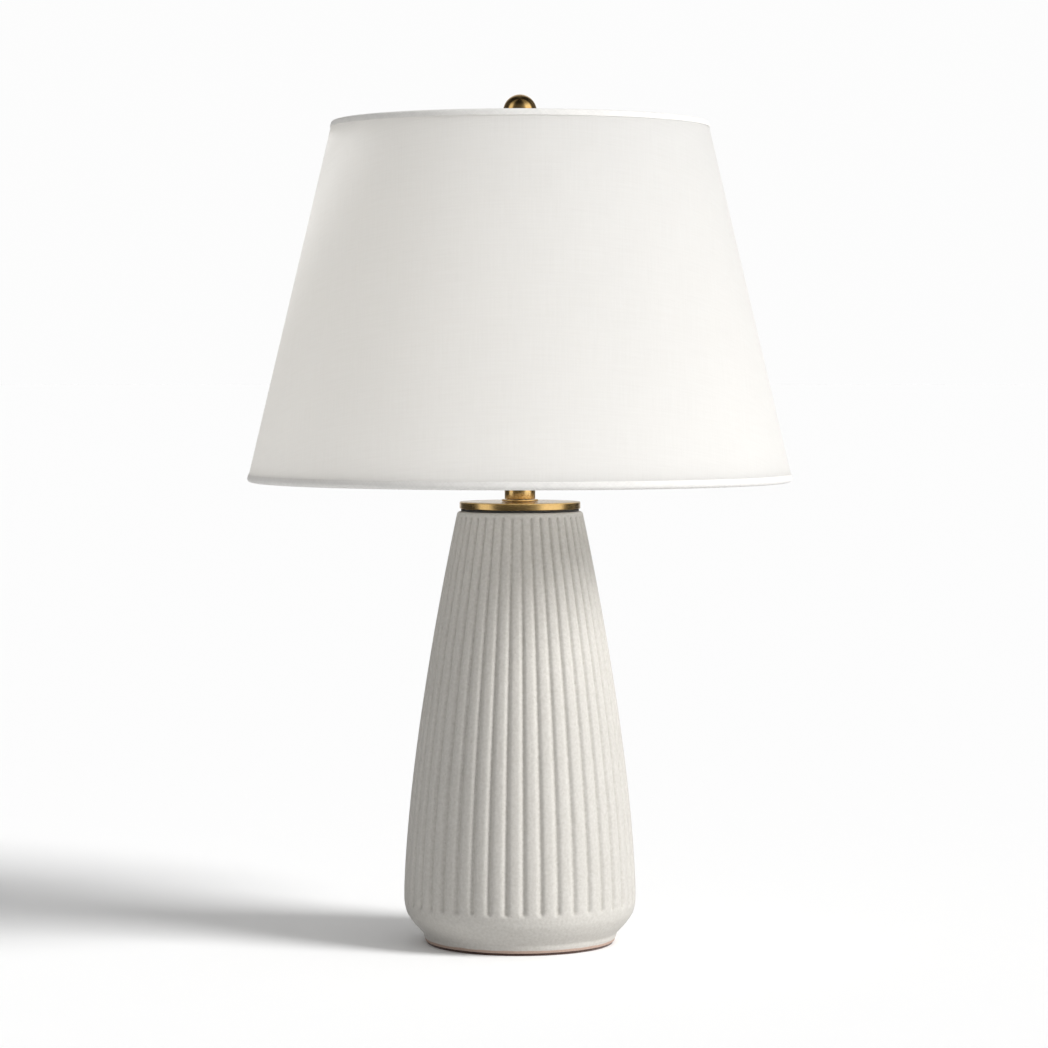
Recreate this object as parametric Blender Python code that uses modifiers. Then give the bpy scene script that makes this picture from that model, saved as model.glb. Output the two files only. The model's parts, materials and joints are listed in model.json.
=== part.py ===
"""Table lamp: a fluted stoneware body, brass neck, harp and finial, and a tapered fabric shade.

Lengths are millimetres here and metres in the scene. The lamp stands on z = 0 with its axis on Z.
The front faces -Y, the cord leaves at the back (+Y) and the harp lies in the X-Z plane.
"""
import math

import bmesh
import bpy
from mathutils import Vector

MM = 0.001
GAP = 0.3                    # air between pieces that touch
MERGE = 0.00005              # metres, merge distance of every modifier that merges

# Stoneware body
BODY_TOP_Z = 322.6
BODY_MAX_R = 86.6            # widest, at the belly
BELLY_Z = 38.0
SHOULDER_Z = 321.0
SHOULDER_R = 46.9
TAPER_POWER = 1.5            # the flank falls away as height to this power
RIM_ROUND = 2.5
WALL = 7.5
MOUTH_R = 38.0
HEEL_Z = 22.0                # where the belly's round meets the sloping heel
HEEL_R = 84.0
FOOT_TOP_Z = 8.0
FOOT_R = 72.5
FOOT_BOTTOM_R = 70.8
FOOT_BOTTOM_Z = 1.8
FOOT_INNER_R = 64.0
FLOOR_LOW_Z = 15.0
FLOOR_TOP_Z = 23.0
FLOOR_HOLE_R = 7.0
FLUTES = 42
FLUTE_DEPTH = 1.4
FLUTE_LOW_Z = 31.0
FLUTE_TOP_Z = 314.0
FLUTE_TURN = 1.75            # degrees from the front to the nearest groove
FELT_R = 69.5
FELT_THICK = 1.5

# Cord entry at the back of the foot
CORD_Z = 9.0
CORD_HOLE_R = 4.0
SPOT_FACE_R = 5.7
SPOT_FACE_Y = 74.4

# Brass fittings over the body
PIPE_R = 4.85
PIPE_BORE_R = 3.2
PIPE_LOW_Z = 3.5
PIPE_TOP_Z = 372.0
PIPE_HOLE_R = 5.2
CAP_R = 45.1
CAP_LOW_Z = 324.5
CAP_TOP_Z = 329.7
CAP_EDGE = 1.1
CAP_LIP_R = 36.5
CAP_LIP_Z = 319.0
GASKET_R = 44.0
COLLAR_R = 13.6
NECK_R = 11.45
NECK_TOP_Z = 359.0

# Harp and its saddle
HARP_WIRE_R = 1.6
HARP_FOOT_X = 28.0
HARP_HALF_WIDTH = 57.0
HARP_FOOT_Z = 366.5
HARP_BEND_Z = 397.0          # where the legs start to spread
HARP_BEND_R = 30.0
HARP_BEND_ANGLE = 50.0
HARP_SHOULDER_R = 45.0
HARP_CROWN_Z = 596.1
PRONG_X = 25.35
PRONG_THICK = 1.5
PRONG_WIDTH = 4.0
PRONG_TOP_Z = 380.0
SADDLE_THICK = 1.7
SADDLE_WIDTH = 13.0
SLEEVE_X = 27.1
SLEEVE_R = 4.3
SLEEVE_BORE_R = 3.5
SLEEVE_LOW_Z = 367.0
SLEEVE_TOP_Z = 381.0

# Socket and switch
SOCKET_R = 17.5
SOCKET_CAP_LOW_Z = 364.0
SOCKET_CAP_TOP_Z = 380.0
SOCKET_TOP_Z = 421.0
SWITCH_Z = 391.0
STEM_R = 2.0
STEM_HOLE_R = 3.2
KNOB_R = 5.2

# Bulb
BULB_R = 30.0
BULB_CENTRE_Z = 480.0
BULB_NECK_R = 13.0
BULB_NECK_Z = 426.5
BULB_NECK_ANGLE = -35.0      # where the globe runs into the neck
BULB_GLASS = 1.0

# Shade
SHADE_LOW_R = 203.2
SHADE_TOP_R = 139.7
SHADE_LOW_Z = 345.4
SHADE_TOP_Z = 612.3
SHADE_STEPS = 48
HEM = 5.0
HEM_INNER = 3.9
HEM_THICK = 0.5
HEM_DEPTH = 6.3              # from the outer face to the inside of the hem
RING_WIRE_R = 1.5
RING_IN = 4.0                # ring centre, in from the outer face
RING_UP = 2.4                # ring centre, from the edge
ARM_WIRE_R = 1.2
ARM_ANGLES = (90, 210, 330)
HUB_R = 14.0
HUB_HOLE_R = 5.3
HUB_LOW_Z = 598.1
HUB_THICK = 2.0

# Stud and finial
STUD_R = 3.0
STUD_TOP_Z = 612.0
FLANGE_R = 5.0
FINIAL_R = 12.5
FINIAL_CENTRE_Z = 619.5
FINIAL_BORE_R = 3.5
FINIAL_BORE_Z = 613.0
FINIAL_NECK_R = 4.6
FINIAL_FOOT_R = 6.2
SEAT_R = 8.0


def start_scene():
    """Empties the scene and makes the collections of parts and of cutters."""
    for obj in list(bpy.data.objects):
        bpy.data.objects.remove(obj, do_unlink=True)
    made = []
    for name in ("table_lamp", "cutters"):
        collection = bpy.data.collections.new(name)
        bpy.context.scene.collection.children.link(collection)
        made.append(collection)
    return made


def make_material(name, colour, roughness, metallic=0.0):
    """A Principled BSDF material."""
    material = bpy.data.materials.new(name)
    material.use_nodes = True
    shader = material.node_tree.nodes["Principled BSDF"]
    shader.inputs["Base Color"].default_value = (*colour, 1.0)
    shader.inputs["Roughness"].default_value = roughness
    shader.inputs["Metallic"].default_value = metallic
    return material


PARTS, CUTTERS = start_scene()
GLAZE = make_material("stoneware_glaze", (0.55, 0.53, 0.49), 0.55)
FELT = make_material("black_felt", (0.03, 0.03, 0.03), 0.95)
RUBBER = make_material("black_rubber", (0.03, 0.03, 0.03), 0.7)
STEEL = make_material("zinc_steel", (0.6, 0.6, 0.6), 0.4, 1.0)
BRASS = make_material("satin_brass", (0.42, 0.28, 0.10), 0.35, 1.0)
LINEN = make_material("white_linen", (0.88, 0.87, 0.85), 0.9)
STYRENE = make_material("white_styrene", (0.9, 0.9, 0.88), 0.6)
FIBRE = make_material("fibre_board", (0.30, 0.24, 0.17), 0.9)
PHENOLIC = make_material("black_phenolic", (0.02, 0.02, 0.02), 0.45)
GLASS = make_material("frosted_glass", (0.9, 0.9, 0.88), 0.4)
ALUMINIUM = make_material("aluminium", (0.7, 0.7, 0.7), 0.35, 1.0)


def frame_empty(name, location, parent=None):
    """An empty that carries a group of parts, on that group's joint axis."""
    empty = bpy.data.objects.new(name, None)
    empty["place"] = location
    PARTS.objects.link(empty)
    set_place(empty, location, parent)
    return empty


def set_place(obj, location, parent):
    """Puts an object at a place in the lamp's frame, under a parent that isn't turned."""
    offset = Vector(location)
    if parent:
        obj.parent = parent
        offset = offset - Vector(parent["place"])
    obj.location = offset * MM


def add_part(name, mesh, material, location=(0, 0, 0), parent=None, turn_x=0.0):
    """Links a mesh as a named part."""
    obj = bpy.data.objects.new(name, mesh)
    mesh.materials.append(material)
    PARTS.objects.link(obj)
    set_place(obj, location, parent)
    obj.rotation_euler = (math.radians(turn_x), 0, 0)
    return obj


def turned(name, outline, material, steps=24, closed=True, at=(0, 0, 0), parent=None, turn_x=0.0):
    """A turned part. The outline runs down its outer side; closed outlines make rings."""
    low = min(z for r, z in outline)
    mesh = bpy.data.meshes.new(name)
    count = len(outline)
    edges = [(i, (i + 1) % count) for i in range(count if closed else count - 1)]
    mesh.from_pydata([(r * MM, 0, (z - low) * MM) for r, z in outline], edges, [])
    along = Vector((0, 0, low))
    along.rotate(Vector((0, 0, 1)).rotation_difference(axis_of(turn_x)))
    obj = add_part(name, mesh, material, Vector(at) + along, parent, turn_x)
    screw = obj.modifiers.new("turn", "SCREW")
    screw.steps = steps
    screw.render_steps = steps
    screw.use_merge_vertices = True
    screw.merge_threshold = MERGE
    screw.use_smooth_shade = True
    return obj


def axis_of(turn_x):
    """The direction that a part's own Z axis points in, once turned about X."""
    angle = math.radians(turn_x)
    return Vector((0, -math.sin(angle), math.cos(angle)))


def tube(inner, outer, low, top):
    """A plain ring's outline."""
    return [(inner, top), (outer, top), (outer, low), (inner, low)]


def disc(radius, low, top):
    """A solid disc's outline."""
    return [(0, top), (radius, top), (radius, low), (0, low)]


def arc(centre, radius, start, end, count):
    """Points on an arc, angles in degrees from +R, both ends included."""
    angles = [math.radians(start + (end - start) * i / count) for i in range(count + 1)]
    return [(centre[0] + radius * math.cos(a), centre[1] + radius * math.sin(a)) for a in angles]


def wire(name, points, radius, material, parent=None):
    """A round wire along a path of points."""
    origin = Vector(parent["place"]) if parent else Vector((0, 0, 0))
    curve = bpy.data.curves.new(name, "CURVE")
    curve.dimensions = "3D"
    curve.bevel_depth = radius * MM
    curve.bevel_resolution = 2
    curve.use_fill_caps = True
    spline = curve.splines.new("POLY")
    spline.points.add(len(points) - 1)
    for point, place in zip(spline.points, points):
        point.co = (*((Vector(place) - origin) * MM), 1)
    return add_part(name, curve, material, origin, parent)


def primitive_in(collection, name):
    """Names the primitive just added and moves it into a collection."""
    obj = bpy.context.object
    obj.name = name
    for old in list(obj.users_collection):
        old.objects.unlink(obj)
    collection.objects.link(obj)
    return obj


def cutter(name, radius, low, top, turn_x=0.0, z=0.0):
    """A round cutter between two distances along its own axis."""
    centre = axis_of(turn_x) * (low + top) / 2 + Vector((0, 0, z))
    bpy.ops.mesh.primitive_cylinder_add(
        vertices=24, radius=radius * MM, depth=(top - low) * MM, location=centre * MM,
        rotation=(math.radians(turn_x), 0, 0))
    obj = primitive_in(CUTTERS, name)
    obj.hide_render = True
    obj.display_type = "WIRE"
    return obj


def combine(obj, other, operation):
    """Cuts or joins a part with another body."""
    boolean = obj.modifiers.new(other.name, "BOOLEAN")
    boolean.operation = operation
    boolean.solver = "EXACT"
    boolean.object = other


def box_mesh(name, size, centre):
    """A box mesh about its own centre, in millimetres."""
    mesh = bpy.data.meshes.new(name)
    shape = bmesh.new()
    bmesh.ops.create_cube(shape, size=1.0)
    for vertex in shape.verts:
        vertex.co = Vector(vertex.co[i] * size[i] + centre[i] for i in range(3)) * MM
    shape.to_mesh(mesh)
    shape.free()
    return mesh


def hex_nut(name, across, low, top):
    """A hexagon nut on the lamp pipe."""
    mesh = bpy.data.meshes.new(name)
    shape = bmesh.new()
    corner = across / 2 / math.cos(math.radians(30))
    bmesh.ops.create_cone(shape, cap_ends=True, segments=6, depth=(top - low) * MM,
                          radius1=corner * MM, radius2=corner * MM)
    shape.to_mesh(mesh)
    shape.free()
    nut = add_part(name, mesh, STEEL, (0, 0, (low + top) / 2))
    combine(nut, cutter(name + "_bore", PIPE_HOLE_R, low - 1, top + 1), "DIFFERENCE")
    return nut


def body_radius(z):
    """Outer radius of the stoneware flank."""
    rise = (z - BELLY_Z) / (SHOULDER_Z - BELLY_Z)
    return BODY_MAX_R - (BODY_MAX_R - SHOULDER_R) * max(rise, 0) ** TAPER_POWER


def body_outline():
    """The stoneware wall, from the mouth down the outside and back up the inside."""
    rim = body_radius(BODY_TOP_Z)
    centre = (rim - RIM_ROUND, BODY_TOP_Z - RIM_ROUND)
    outline = [(MOUTH_R, BODY_TOP_Z)] + arc(centre, RIM_ROUND, 90, 0, 2)
    flank = [FLUTE_TOP_Z + 4, FLUTE_TOP_Z, 270, 215, 160, 105, 65, BELLY_Z]
    outline += [(body_radius(z), z) for z in flank]
    outline += [(BODY_MAX_R - 0.25, FLUTE_LOW_Z), (BODY_MAX_R - 1.1, FLUTE_LOW_Z - 4)]
    outline += [(HEEL_R, HEEL_Z), (HEEL_R - 4.5, 15.8), (FOOT_R, FOOT_TOP_Z)]
    outline += [(FOOT_BOTTOM_R, FOOT_BOTTOM_Z), (FOOT_INNER_R, FOOT_BOTTOM_Z)]
    outline += [(FOOT_INNER_R, FLOOR_LOW_Z), (FLOOR_HOLE_R, FLOOR_LOW_Z)]
    outline += [(FLOOR_HOLE_R, FLOOR_TOP_Z), (HEEL_R - 11, FLOOR_TOP_Z)]
    inner = [BELLY_Z, 130, 225, 318]
    return outline + [(body_radius(z) - WALL, z) for z in inner]


def press_flutes(mesh):
    """Draws every second column of the outside in, so that grooves and ridges alternate."""
    pitch = 2 * math.pi / FLUTES
    for vertex in mesh.vertices:
        radius = math.hypot(vertex.co.x, vertex.co.y) / MM
        height = vertex.co.z / MM + FOOT_BOTTOM_Z
        turn = math.atan2(vertex.co.y, vertex.co.x) / pitch
        grooved = abs(turn - math.floor(turn) - 0.5) < 0.25
        outside = radius > body_radius(height) - 1
        if grooved and outside and FLUTE_LOW_Z - 1 < height < FLUTE_TOP_Z + 1:
            vertex.co.x *= 1 - FLUTE_DEPTH / radius
            vertex.co.y *= 1 - FLUTE_DEPTH / radius


def make_body():
    """The fluted, hollow stoneware body with its cord hole."""
    blank = turned("body_blank", body_outline(), GLAZE, 2 * FLUTES)
    bpy.context.view_layer.update()
    mesh = bpy.data.meshes.new_from_object(
        blank.evaluated_get(bpy.context.evaluated_depsgraph_get()))
    bpy.data.objects.remove(blank, do_unlink=True)
    mesh.materials.clear()
    press_flutes(mesh)
    body = add_part("ceramic_body", mesh, GLAZE, (0, 0, FOOT_BOTTOM_Z))
    body.rotation_euler.z = math.radians(FLUTE_TURN)
    hole = cutter("cord_hole", CORD_HOLE_R, FOOT_INNER_R - 4, BODY_MAX_R, -90, CORD_Z)
    spot = cutter("cord_spot_face", SPOT_FACE_R, SPOT_FACE_Y, BODY_MAX_R + 4, -90, CORD_Z)
    combine(body, hole, "DIFFERENCE")
    combine(body, spot, "DIFFERENCE")


def make_foot():
    """The felt under the lamp and the bushing that guards the cord hole."""
    turned("felt_pad", disc(FELT_R, 0, FELT_THICK), FELT, 40, closed=False)
    face = SPOT_FACE_Y + GAP
    bushing = [(2.4, face + 1.5), (SPOT_FACE_R - 0.7, face + 1.5), (SPOT_FACE_R - 0.7, face),
               (CORD_HOLE_R - 0.4, face), (CORD_HOLE_R - 0.4, FOOT_INNER_R - 1),
               (2.4, FOOT_INNER_R - 1)]
    turned("cord_bushing", bushing, RUBBER, 16, at=(0, 0, CORD_Z), turn_x=-90)


def make_pipe_stack():
    """The threaded pipe that clamps the lamp together, and what holds it below the floor."""
    turned("lamp_pipe", tube(PIPE_BORE_R, PIPE_R, PIPE_LOW_Z, PIPE_TOP_Z), STEEL)
    cushion_top = FLOOR_LOW_Z - GAP
    washer_top = cushion_top - 2 - GAP
    nut_top = washer_top - 1.5 - GAP
    turned("base_cushion", tube(PIPE_HOLE_R, 16, cushion_top - 2, cushion_top), RUBBER)
    turned("base_washer", tube(PIPE_HOLE_R, 19, washer_top - 1.5, washer_top), STEEL)
    hex_nut("base_nut", 16, nut_top - 5, nut_top)


def make_neck():
    """The cap on the mouth, its gasket, and the neck up to the harp saddle."""
    gasket_low = BODY_TOP_Z + GAP
    turned("cap_gasket", tube(CAP_LIP_R + 0.5, GASKET_R, gasket_low, CAP_LOW_Z - GAP), RUBBER, 40)
    cap = [(PIPE_HOLE_R, CAP_TOP_Z), (CAP_R - CAP_EDGE, CAP_TOP_Z), (CAP_R, CAP_TOP_Z - CAP_EDGE),
           (CAP_R, CAP_LOW_Z + CAP_EDGE), (CAP_R - CAP_EDGE, CAP_LOW_Z), (CAP_LIP_R, CAP_LOW_Z),
           (CAP_LIP_R, CAP_LIP_Z), (CAP_LIP_R - 2, CAP_LIP_Z), (CAP_LIP_R - 2, CAP_LOW_Z),
           (PIPE_HOLE_R, CAP_LOW_Z)]
    turned("vase_cap", cap, BRASS, 40)
    collar_low = CAP_TOP_Z + GAP
    turned("neck_collar", tube(PIPE_HOLE_R, COLLAR_R, collar_low, collar_low + 1.5), BRASS)
    neck_low = collar_low + 1.5 + GAP
    turned("neck_tube", tube(NECK_R - 1.5, NECK_R, neck_low, NECK_TOP_Z), BRASS)


def make_saddle():
    """The strip under the socket that the harp stands on, with a prong at each end."""
    low = NECK_TOP_Z + GAP
    span = 2 * PRONG_X + PRONG_THICK
    centre = (0, 0, low + SADDLE_THICK / 2)
    plate = add_part("harp_saddle", box_mesh("harp_saddle", (span, SADDLE_WIDTH, SADDLE_THICK),
                                             (0, 0, 0)), STEEL, centre)
    combine(plate, cutter("saddle_hole", PIPE_HOLE_R, low - 1, low + 3), "DIFFERENCE")
    height = PRONG_TOP_Z - low
    for side, name in ((-1, "prong_left"), (1, "prong_right")):
        mesh = box_mesh(name, (PRONG_THICK, PRONG_WIDTH, height), (0, 0, height / 2))
        prong = bpy.data.objects.new(name, mesh)
        prong.location = Vector((side * PRONG_X, 0, low)) * MM
        prong.hide_render = True
        prong.display_type = "WIRE"
        CUTTERS.objects.link(prong)
        combine(plate, prong, "UNION")
    hex_nut("saddle_nut", 14, low + SADDLE_THICK + GAP, SOCKET_CAP_LOW_Z - GAP)


def make_socket():
    """The lamp socket: cap, set screw, shell, liner, body, contacts and terminals."""
    inner = SOCKET_R - 1
    cap = [(inner, SOCKET_CAP_TOP_Z), (SOCKET_R, SOCKET_CAP_TOP_Z), (SOCKET_R, 376.5), (15.5, 372.5),
           (10.0, 369.0), (8.0, 366.5), (8.0, SOCKET_CAP_LOW_Z), (PIPE_HOLE_R, SOCKET_CAP_LOW_Z),
           (PIPE_HOLE_R, 367.5), (9.2, 370.2), (14.6, 373.6), (inner, 377.0)]
    turned("socket_cap", cap, BRASS)
    turned("socket_set_screw", disc(1.4, 8.3 + GAP, 10.6), STEEL, 12, False, (0, 0, 365.7),
           turn_x=-90)
    shell_low = SOCKET_CAP_TOP_Z + GAP
    shell = turned("socket_shell", tube(SOCKET_R - 0.6, SOCKET_R, shell_low, SOCKET_TOP_Z), BRASS)
    liner = turned("socket_liner", tube(15.9, 16.5, shell_low + GAP, SOCKET_TOP_Z - 1), FIBRE)
    stem_hole = cutter("stem_hole", STEM_HOLE_R, 12, 22, 90, SWITCH_Z)
    combine(shell, stem_hole, "DIFFERENCE")
    combine(liner, stem_hole, "DIFFERENCE")
    turned("socket_body", disc(15.4, 383, 398.2), PHENOLIC, 24, False)
    turned("screw_shell", tube(13.4, 14.0, 398.5, 417), BRASS)
    turned("centre_contact", disc(3.5, 398.5, 401.3), BRASS, 12, False)
    for side, name in ((-1, "terminal_screw_hot"), (1, "terminal_screw_neutral")):
        turned(name, disc(2.4, 380.8, 383 - GAP), BRASS, 12, False, (side * 9, 2, 0))


def make_switch():
    """The turn knob on the socket, with its stem."""
    carrier = frame_empty("switch_axis", (0, -SOCKET_R, SWITCH_Z))
    stem = disc(STEM_R, 15.4 + GAP, 25)
    turned("switch_stem", stem, BRASS, 12, False, (0, 0, SWITCH_Z), carrier, 90)
    knob = [(0, 38), (KNOB_R - 1, 38), (KNOB_R, 37), (KNOB_R, 27), (KNOB_R - 1.4, 25 + GAP),
            (0, 25 + GAP)]
    turned("switch_knob", knob, PHENOLIC, 16, False, (0, 0, SWITCH_Z), carrier, 90)


def make_bulb():
    """A frosted bulb with its screw cap and centre tip."""
    carrier = frame_empty("bulb_axis", (0, 0, BULB_NECK_Z))
    centre = (0, BULB_CENTRE_Z)
    outer = arc(centre, BULB_R, 90, BULB_NECK_ANGLE, 8)
    outer += [(BULB_NECK_R + 2, 449), (BULB_NECK_R, 442), (BULB_NECK_R, BULB_NECK_Z)]
    inner = [(BULB_NECK_R - BULB_GLASS, BULB_NECK_Z), (BULB_NECK_R - BULB_GLASS, 442.5),
             (BULB_NECK_R + 2 - BULB_GLASS, 450)]
    inner += arc(centre, BULB_R - BULB_GLASS, BULB_NECK_ANGLE, 90, 8)
    turned("bulb_globe", outer + inner, GLASS, 20, False, parent=carrier)
    cap_top = BULB_NECK_Z - GAP
    cap = [(12.4, cap_top), (13.0, cap_top), (13.0, 406), (9.5, 403.6), (4.5, 403.6),
           (4.5, 404.4), (9.2, 404.4), (12.4, 406.4)]
    turned("bulb_cap", cap, ALUMINIUM, 20, parent=carrier)
    turned("bulb_tip", disc(4.0, 401.8, 404.9), ALUMINIUM, 12, False, parent=carrier)


def harp_path():
    """One side of the harp, from its foot to the middle of the crown, as (x, z)."""
    spread = math.radians(HARP_BEND_ANGLE)
    reach = HARP_BEND_R * (1 - math.cos(spread))
    slope = HARP_HALF_WIDTH - HARP_FOOT_X - 2 * reach
    rise = 2 * HARP_BEND_R * math.sin(spread) + slope / math.tan(spread)
    low = (HARP_FOOT_X + HARP_BEND_R, HARP_BEND_Z)
    high = (HARP_HALF_WIDTH - HARP_BEND_R, HARP_BEND_Z + rise)
    shoulder = (HARP_HALF_WIDTH - HARP_SHOULDER_R, HARP_CROWN_Z - HARP_SHOULDER_R)
    path = [(HARP_FOOT_X, HARP_FOOT_Z)] + arc(low, HARP_BEND_R, 180, 180 - HARP_BEND_ANGLE, 4)
    path += arc(high, HARP_BEND_R, -HARP_BEND_ANGLE, 0, 4)
    return path + arc(shoulder, HARP_SHOULDER_R, 0, 90, 8)


def make_harp():
    """The harp bail, the two sleeves that lock its feet, and the threaded stud."""
    carrier = frame_empty("harp_axis", (0, 0, NECK_TOP_Z))
    side = harp_path()
    path = [(x, 0, z) for x, z in side] + [(-x, 0, z) for x, z in reversed(side)]
    wire("harp_wire", path, HARP_WIRE_R, BRASS, carrier)
    sleeve = tube(SLEEVE_BORE_R, SLEEVE_R, SLEEVE_LOW_Z, SLEEVE_TOP_Z)
    for side_x, name in ((-1, "harp_sleeve_left"), (1, "harp_sleeve_right")):
        turned(name, sleeve, BRASS, 20, at=(side_x * SLEEVE_X, 0, 0), parent=carrier)
    stud_low = HARP_CROWN_Z + HARP_WIRE_R + GAP
    flange_top = HUB_LOW_Z + HUB_THICK - 0.2
    stud = [(0, STUD_TOP_Z), (STUD_R, STUD_TOP_Z), (STUD_R, flange_top), (FLANGE_R, flange_top),
            (FLANGE_R, stud_low), (0, stud_low)]
    turned("harp_post", stud, BRASS, 20, False, parent=carrier)
    return carrier


def shade_point(along, inward, from_top):
    """A point of the shade's section: along the slope from an edge, and in from the outer face."""
    run = SHADE_LOW_R - SHADE_TOP_R
    rise = SHADE_TOP_Z - SHADE_LOW_Z
    slant = math.hypot(run, rise)
    down = (run / slant, -rise / slant)
    start = (SHADE_TOP_R, SHADE_TOP_Z) if from_top else (SHADE_LOW_R, SHADE_LOW_Z)
    sign = 1 if from_top else -1
    return (start[0] + sign * along * down[0] + inward * down[1],
            start[1] + sign * along * down[1] - inward * down[0])


def shade_skin(name, outer, inner, material, parent):
    """A conical skin between two depths, from hem to hem."""
    end = HEM_THICK + GAP
    outline = [shade_point(end, inner, True), shade_point(end, outer, True),
               shade_point(end, outer, False), shade_point(end, inner, False)]
    turned(name, outline, material, SHADE_STEPS, parent=parent)


def shade_hem(name, from_top, parent):
    """The rolled strip round an edge, folded over the wire to the inside."""
    section = [(HEM, 0), (0, 0), (0, HEM_DEPTH), (HEM_INNER, HEM_DEPTH),
               (HEM_INNER, HEM_DEPTH - HEM_THICK), (HEM_THICK, HEM_DEPTH - HEM_THICK),
               (HEM_THICK, HEM_THICK), (HEM, HEM_THICK)]
    outline = [shade_point(along, inward, from_top) for along, inward in section]
    if from_top:
        outline.reverse()
    turned(name, outline, LINEN, SHADE_STEPS, parent=parent)


def shade_ring(name, from_top, parent):
    """The wire ring inside a hem."""
    radius, height = shade_point(RING_UP, RING_IN, from_top)
    bpy.ops.mesh.primitive_torus_add(major_radius=radius * MM, minor_radius=RING_WIRE_R * MM,
                                     major_segments=SHADE_STEPS, minor_segments=6)
    ring = primitive_in(PARTS, name)
    ring.data.materials.append(STEEL)
    ring.data.shade_smooth()
    set_place(ring, (0, 0, height), parent)


def make_shade():
    """The shade: fabric on a liner, two hems over wire rings, and the spider that carries it."""
    carrier = frame_empty("shade_axis", (0, 0, HUB_LOW_Z))
    skin = HEM_THICK + GAP
    shade_skin("shade_fabric", skin, skin + 0.5, LINEN, carrier)
    shade_skin("shade_liner", skin + 0.5 + GAP, skin + 1.1 + GAP, STYRENE, carrier)
    for name, ring, from_top in (("top_hem", "shade_top_ring", True),
                                 ("bottom_hem", "shade_bottom_ring", False)):
        shade_hem(name, from_top, carrier)
        shade_ring(ring, from_top, carrier)
    turned("spider_hub", tube(HUB_HOLE_R, HUB_R, HUB_LOW_Z, HUB_LOW_Z + HUB_THICK), STEEL,
           parent=carrier)
    ring_r, ring_z = shade_point(RING_UP, RING_IN, True)
    start = (HUB_R + 0.4, HUB_LOW_Z + HUB_THICK / 2)
    end = (ring_r + 1.3, ring_z - RING_WIRE_R - ARM_WIRE_R - 2 * GAP)
    for number, degrees in enumerate(ARM_ANGLES, 1):
        turn = math.radians(degrees)
        path = [(r * math.cos(turn), r * math.sin(turn), z) for r, z in (start, end)]
        wire(f"spider_arm_{number}", path, ARM_WIRE_R, STEEL, carrier)


def make_finial():
    """The ball finial and the seat washer that rises with it."""
    carrier = frame_empty("finial_axis", (0, 0, HUB_LOW_Z + HUB_THICK))
    seat_low = HUB_LOW_Z + HUB_THICK + GAP
    turned("finial_washer", tube(FINIAL_BORE_R, SEAT_R, seat_low, seat_low + 0.6), BRASS, 20,
           parent=carrier)
    neck_drop = math.sqrt(FINIAL_R ** 2 - FINIAL_NECK_R ** 2)
    neck_angle = -math.degrees(math.acos(FINIAL_NECK_R / FINIAL_R))
    ball = arc((0, FINIAL_CENTRE_Z), FINIAL_R, 90, neck_angle, 9)
    ball += [(FINIAL_BORE_R, FINIAL_CENTRE_Z - neck_drop), (FINIAL_BORE_R, FINIAL_BORE_Z),
             (0, FINIAL_BORE_Z)]
    turned("finial_ball", ball, BRASS, 24, False, parent=carrier)
    stem_top = FINIAL_CENTRE_Z - neck_drop - GAP
    stem_low = seat_low + 0.6 + GAP
    stem = [(FINIAL_BORE_R, stem_top), (FINIAL_NECK_R, stem_top), (FINIAL_NECK_R, stem_low + 2),
            (FINIAL_FOOT_R, stem_low + 1), (FINIAL_FOOT_R, stem_low), (FINIAL_BORE_R, stem_low)]
    turned("finial_stem", stem, BRASS, 20, parent=carrier)


make_body()
make_foot()
make_pipe_stack()
make_neck()
make_saddle()
make_socket()
make_switch()
make_bulb()
make_harp()
make_shade()
make_finial()
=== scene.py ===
import json
import math

import bmesh
import bpy
from mathutils import Matrix, Vector, noise

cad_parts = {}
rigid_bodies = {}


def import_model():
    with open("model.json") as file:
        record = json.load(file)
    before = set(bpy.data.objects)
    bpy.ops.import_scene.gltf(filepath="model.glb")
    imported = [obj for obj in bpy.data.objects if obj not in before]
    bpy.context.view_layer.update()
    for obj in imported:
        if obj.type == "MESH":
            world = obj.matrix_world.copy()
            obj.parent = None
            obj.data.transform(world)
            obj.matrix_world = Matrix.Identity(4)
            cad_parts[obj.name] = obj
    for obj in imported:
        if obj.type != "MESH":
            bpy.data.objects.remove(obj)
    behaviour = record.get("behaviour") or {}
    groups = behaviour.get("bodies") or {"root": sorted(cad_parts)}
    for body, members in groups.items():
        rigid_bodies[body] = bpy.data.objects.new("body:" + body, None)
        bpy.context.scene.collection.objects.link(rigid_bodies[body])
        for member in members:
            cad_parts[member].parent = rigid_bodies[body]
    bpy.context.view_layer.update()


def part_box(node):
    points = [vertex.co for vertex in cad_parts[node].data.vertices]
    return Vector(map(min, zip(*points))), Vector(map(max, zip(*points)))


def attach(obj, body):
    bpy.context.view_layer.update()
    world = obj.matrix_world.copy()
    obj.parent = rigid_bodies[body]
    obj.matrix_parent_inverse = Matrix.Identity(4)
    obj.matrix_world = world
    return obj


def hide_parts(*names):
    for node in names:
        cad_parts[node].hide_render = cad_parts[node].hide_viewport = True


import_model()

mm = 0.001
inch = 25.4 * mm
axisToFront = Matrix.Rotation(math.radians(90), 4, "X")     # a piece turned about Z, laid to face -Y
axisToBack = Matrix.Rotation(math.radians(-90), 4, "X")

# studio: camera, floor, key light and room
studio = {
    "cameraPlace": (0.003, -2.719, 0.4264),
    "cameraTilt": -2.39,       # degrees, looking slightly down
    "lens": 125.38,
    "floorSize": 240.0,        # metres, so that it runs to the horizon
    "floorTone": 0.92,
    "backdrop": 0.978,
    "keyStrength": 3.8,
    "keyTurn": 64.0,           # degrees round from the camera towards the right
    "keyHeight": 30.0,         # degrees over the floor
    "keySoftness": 24.0,       # degrees across
    "roomLight": 0.46,
}

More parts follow.
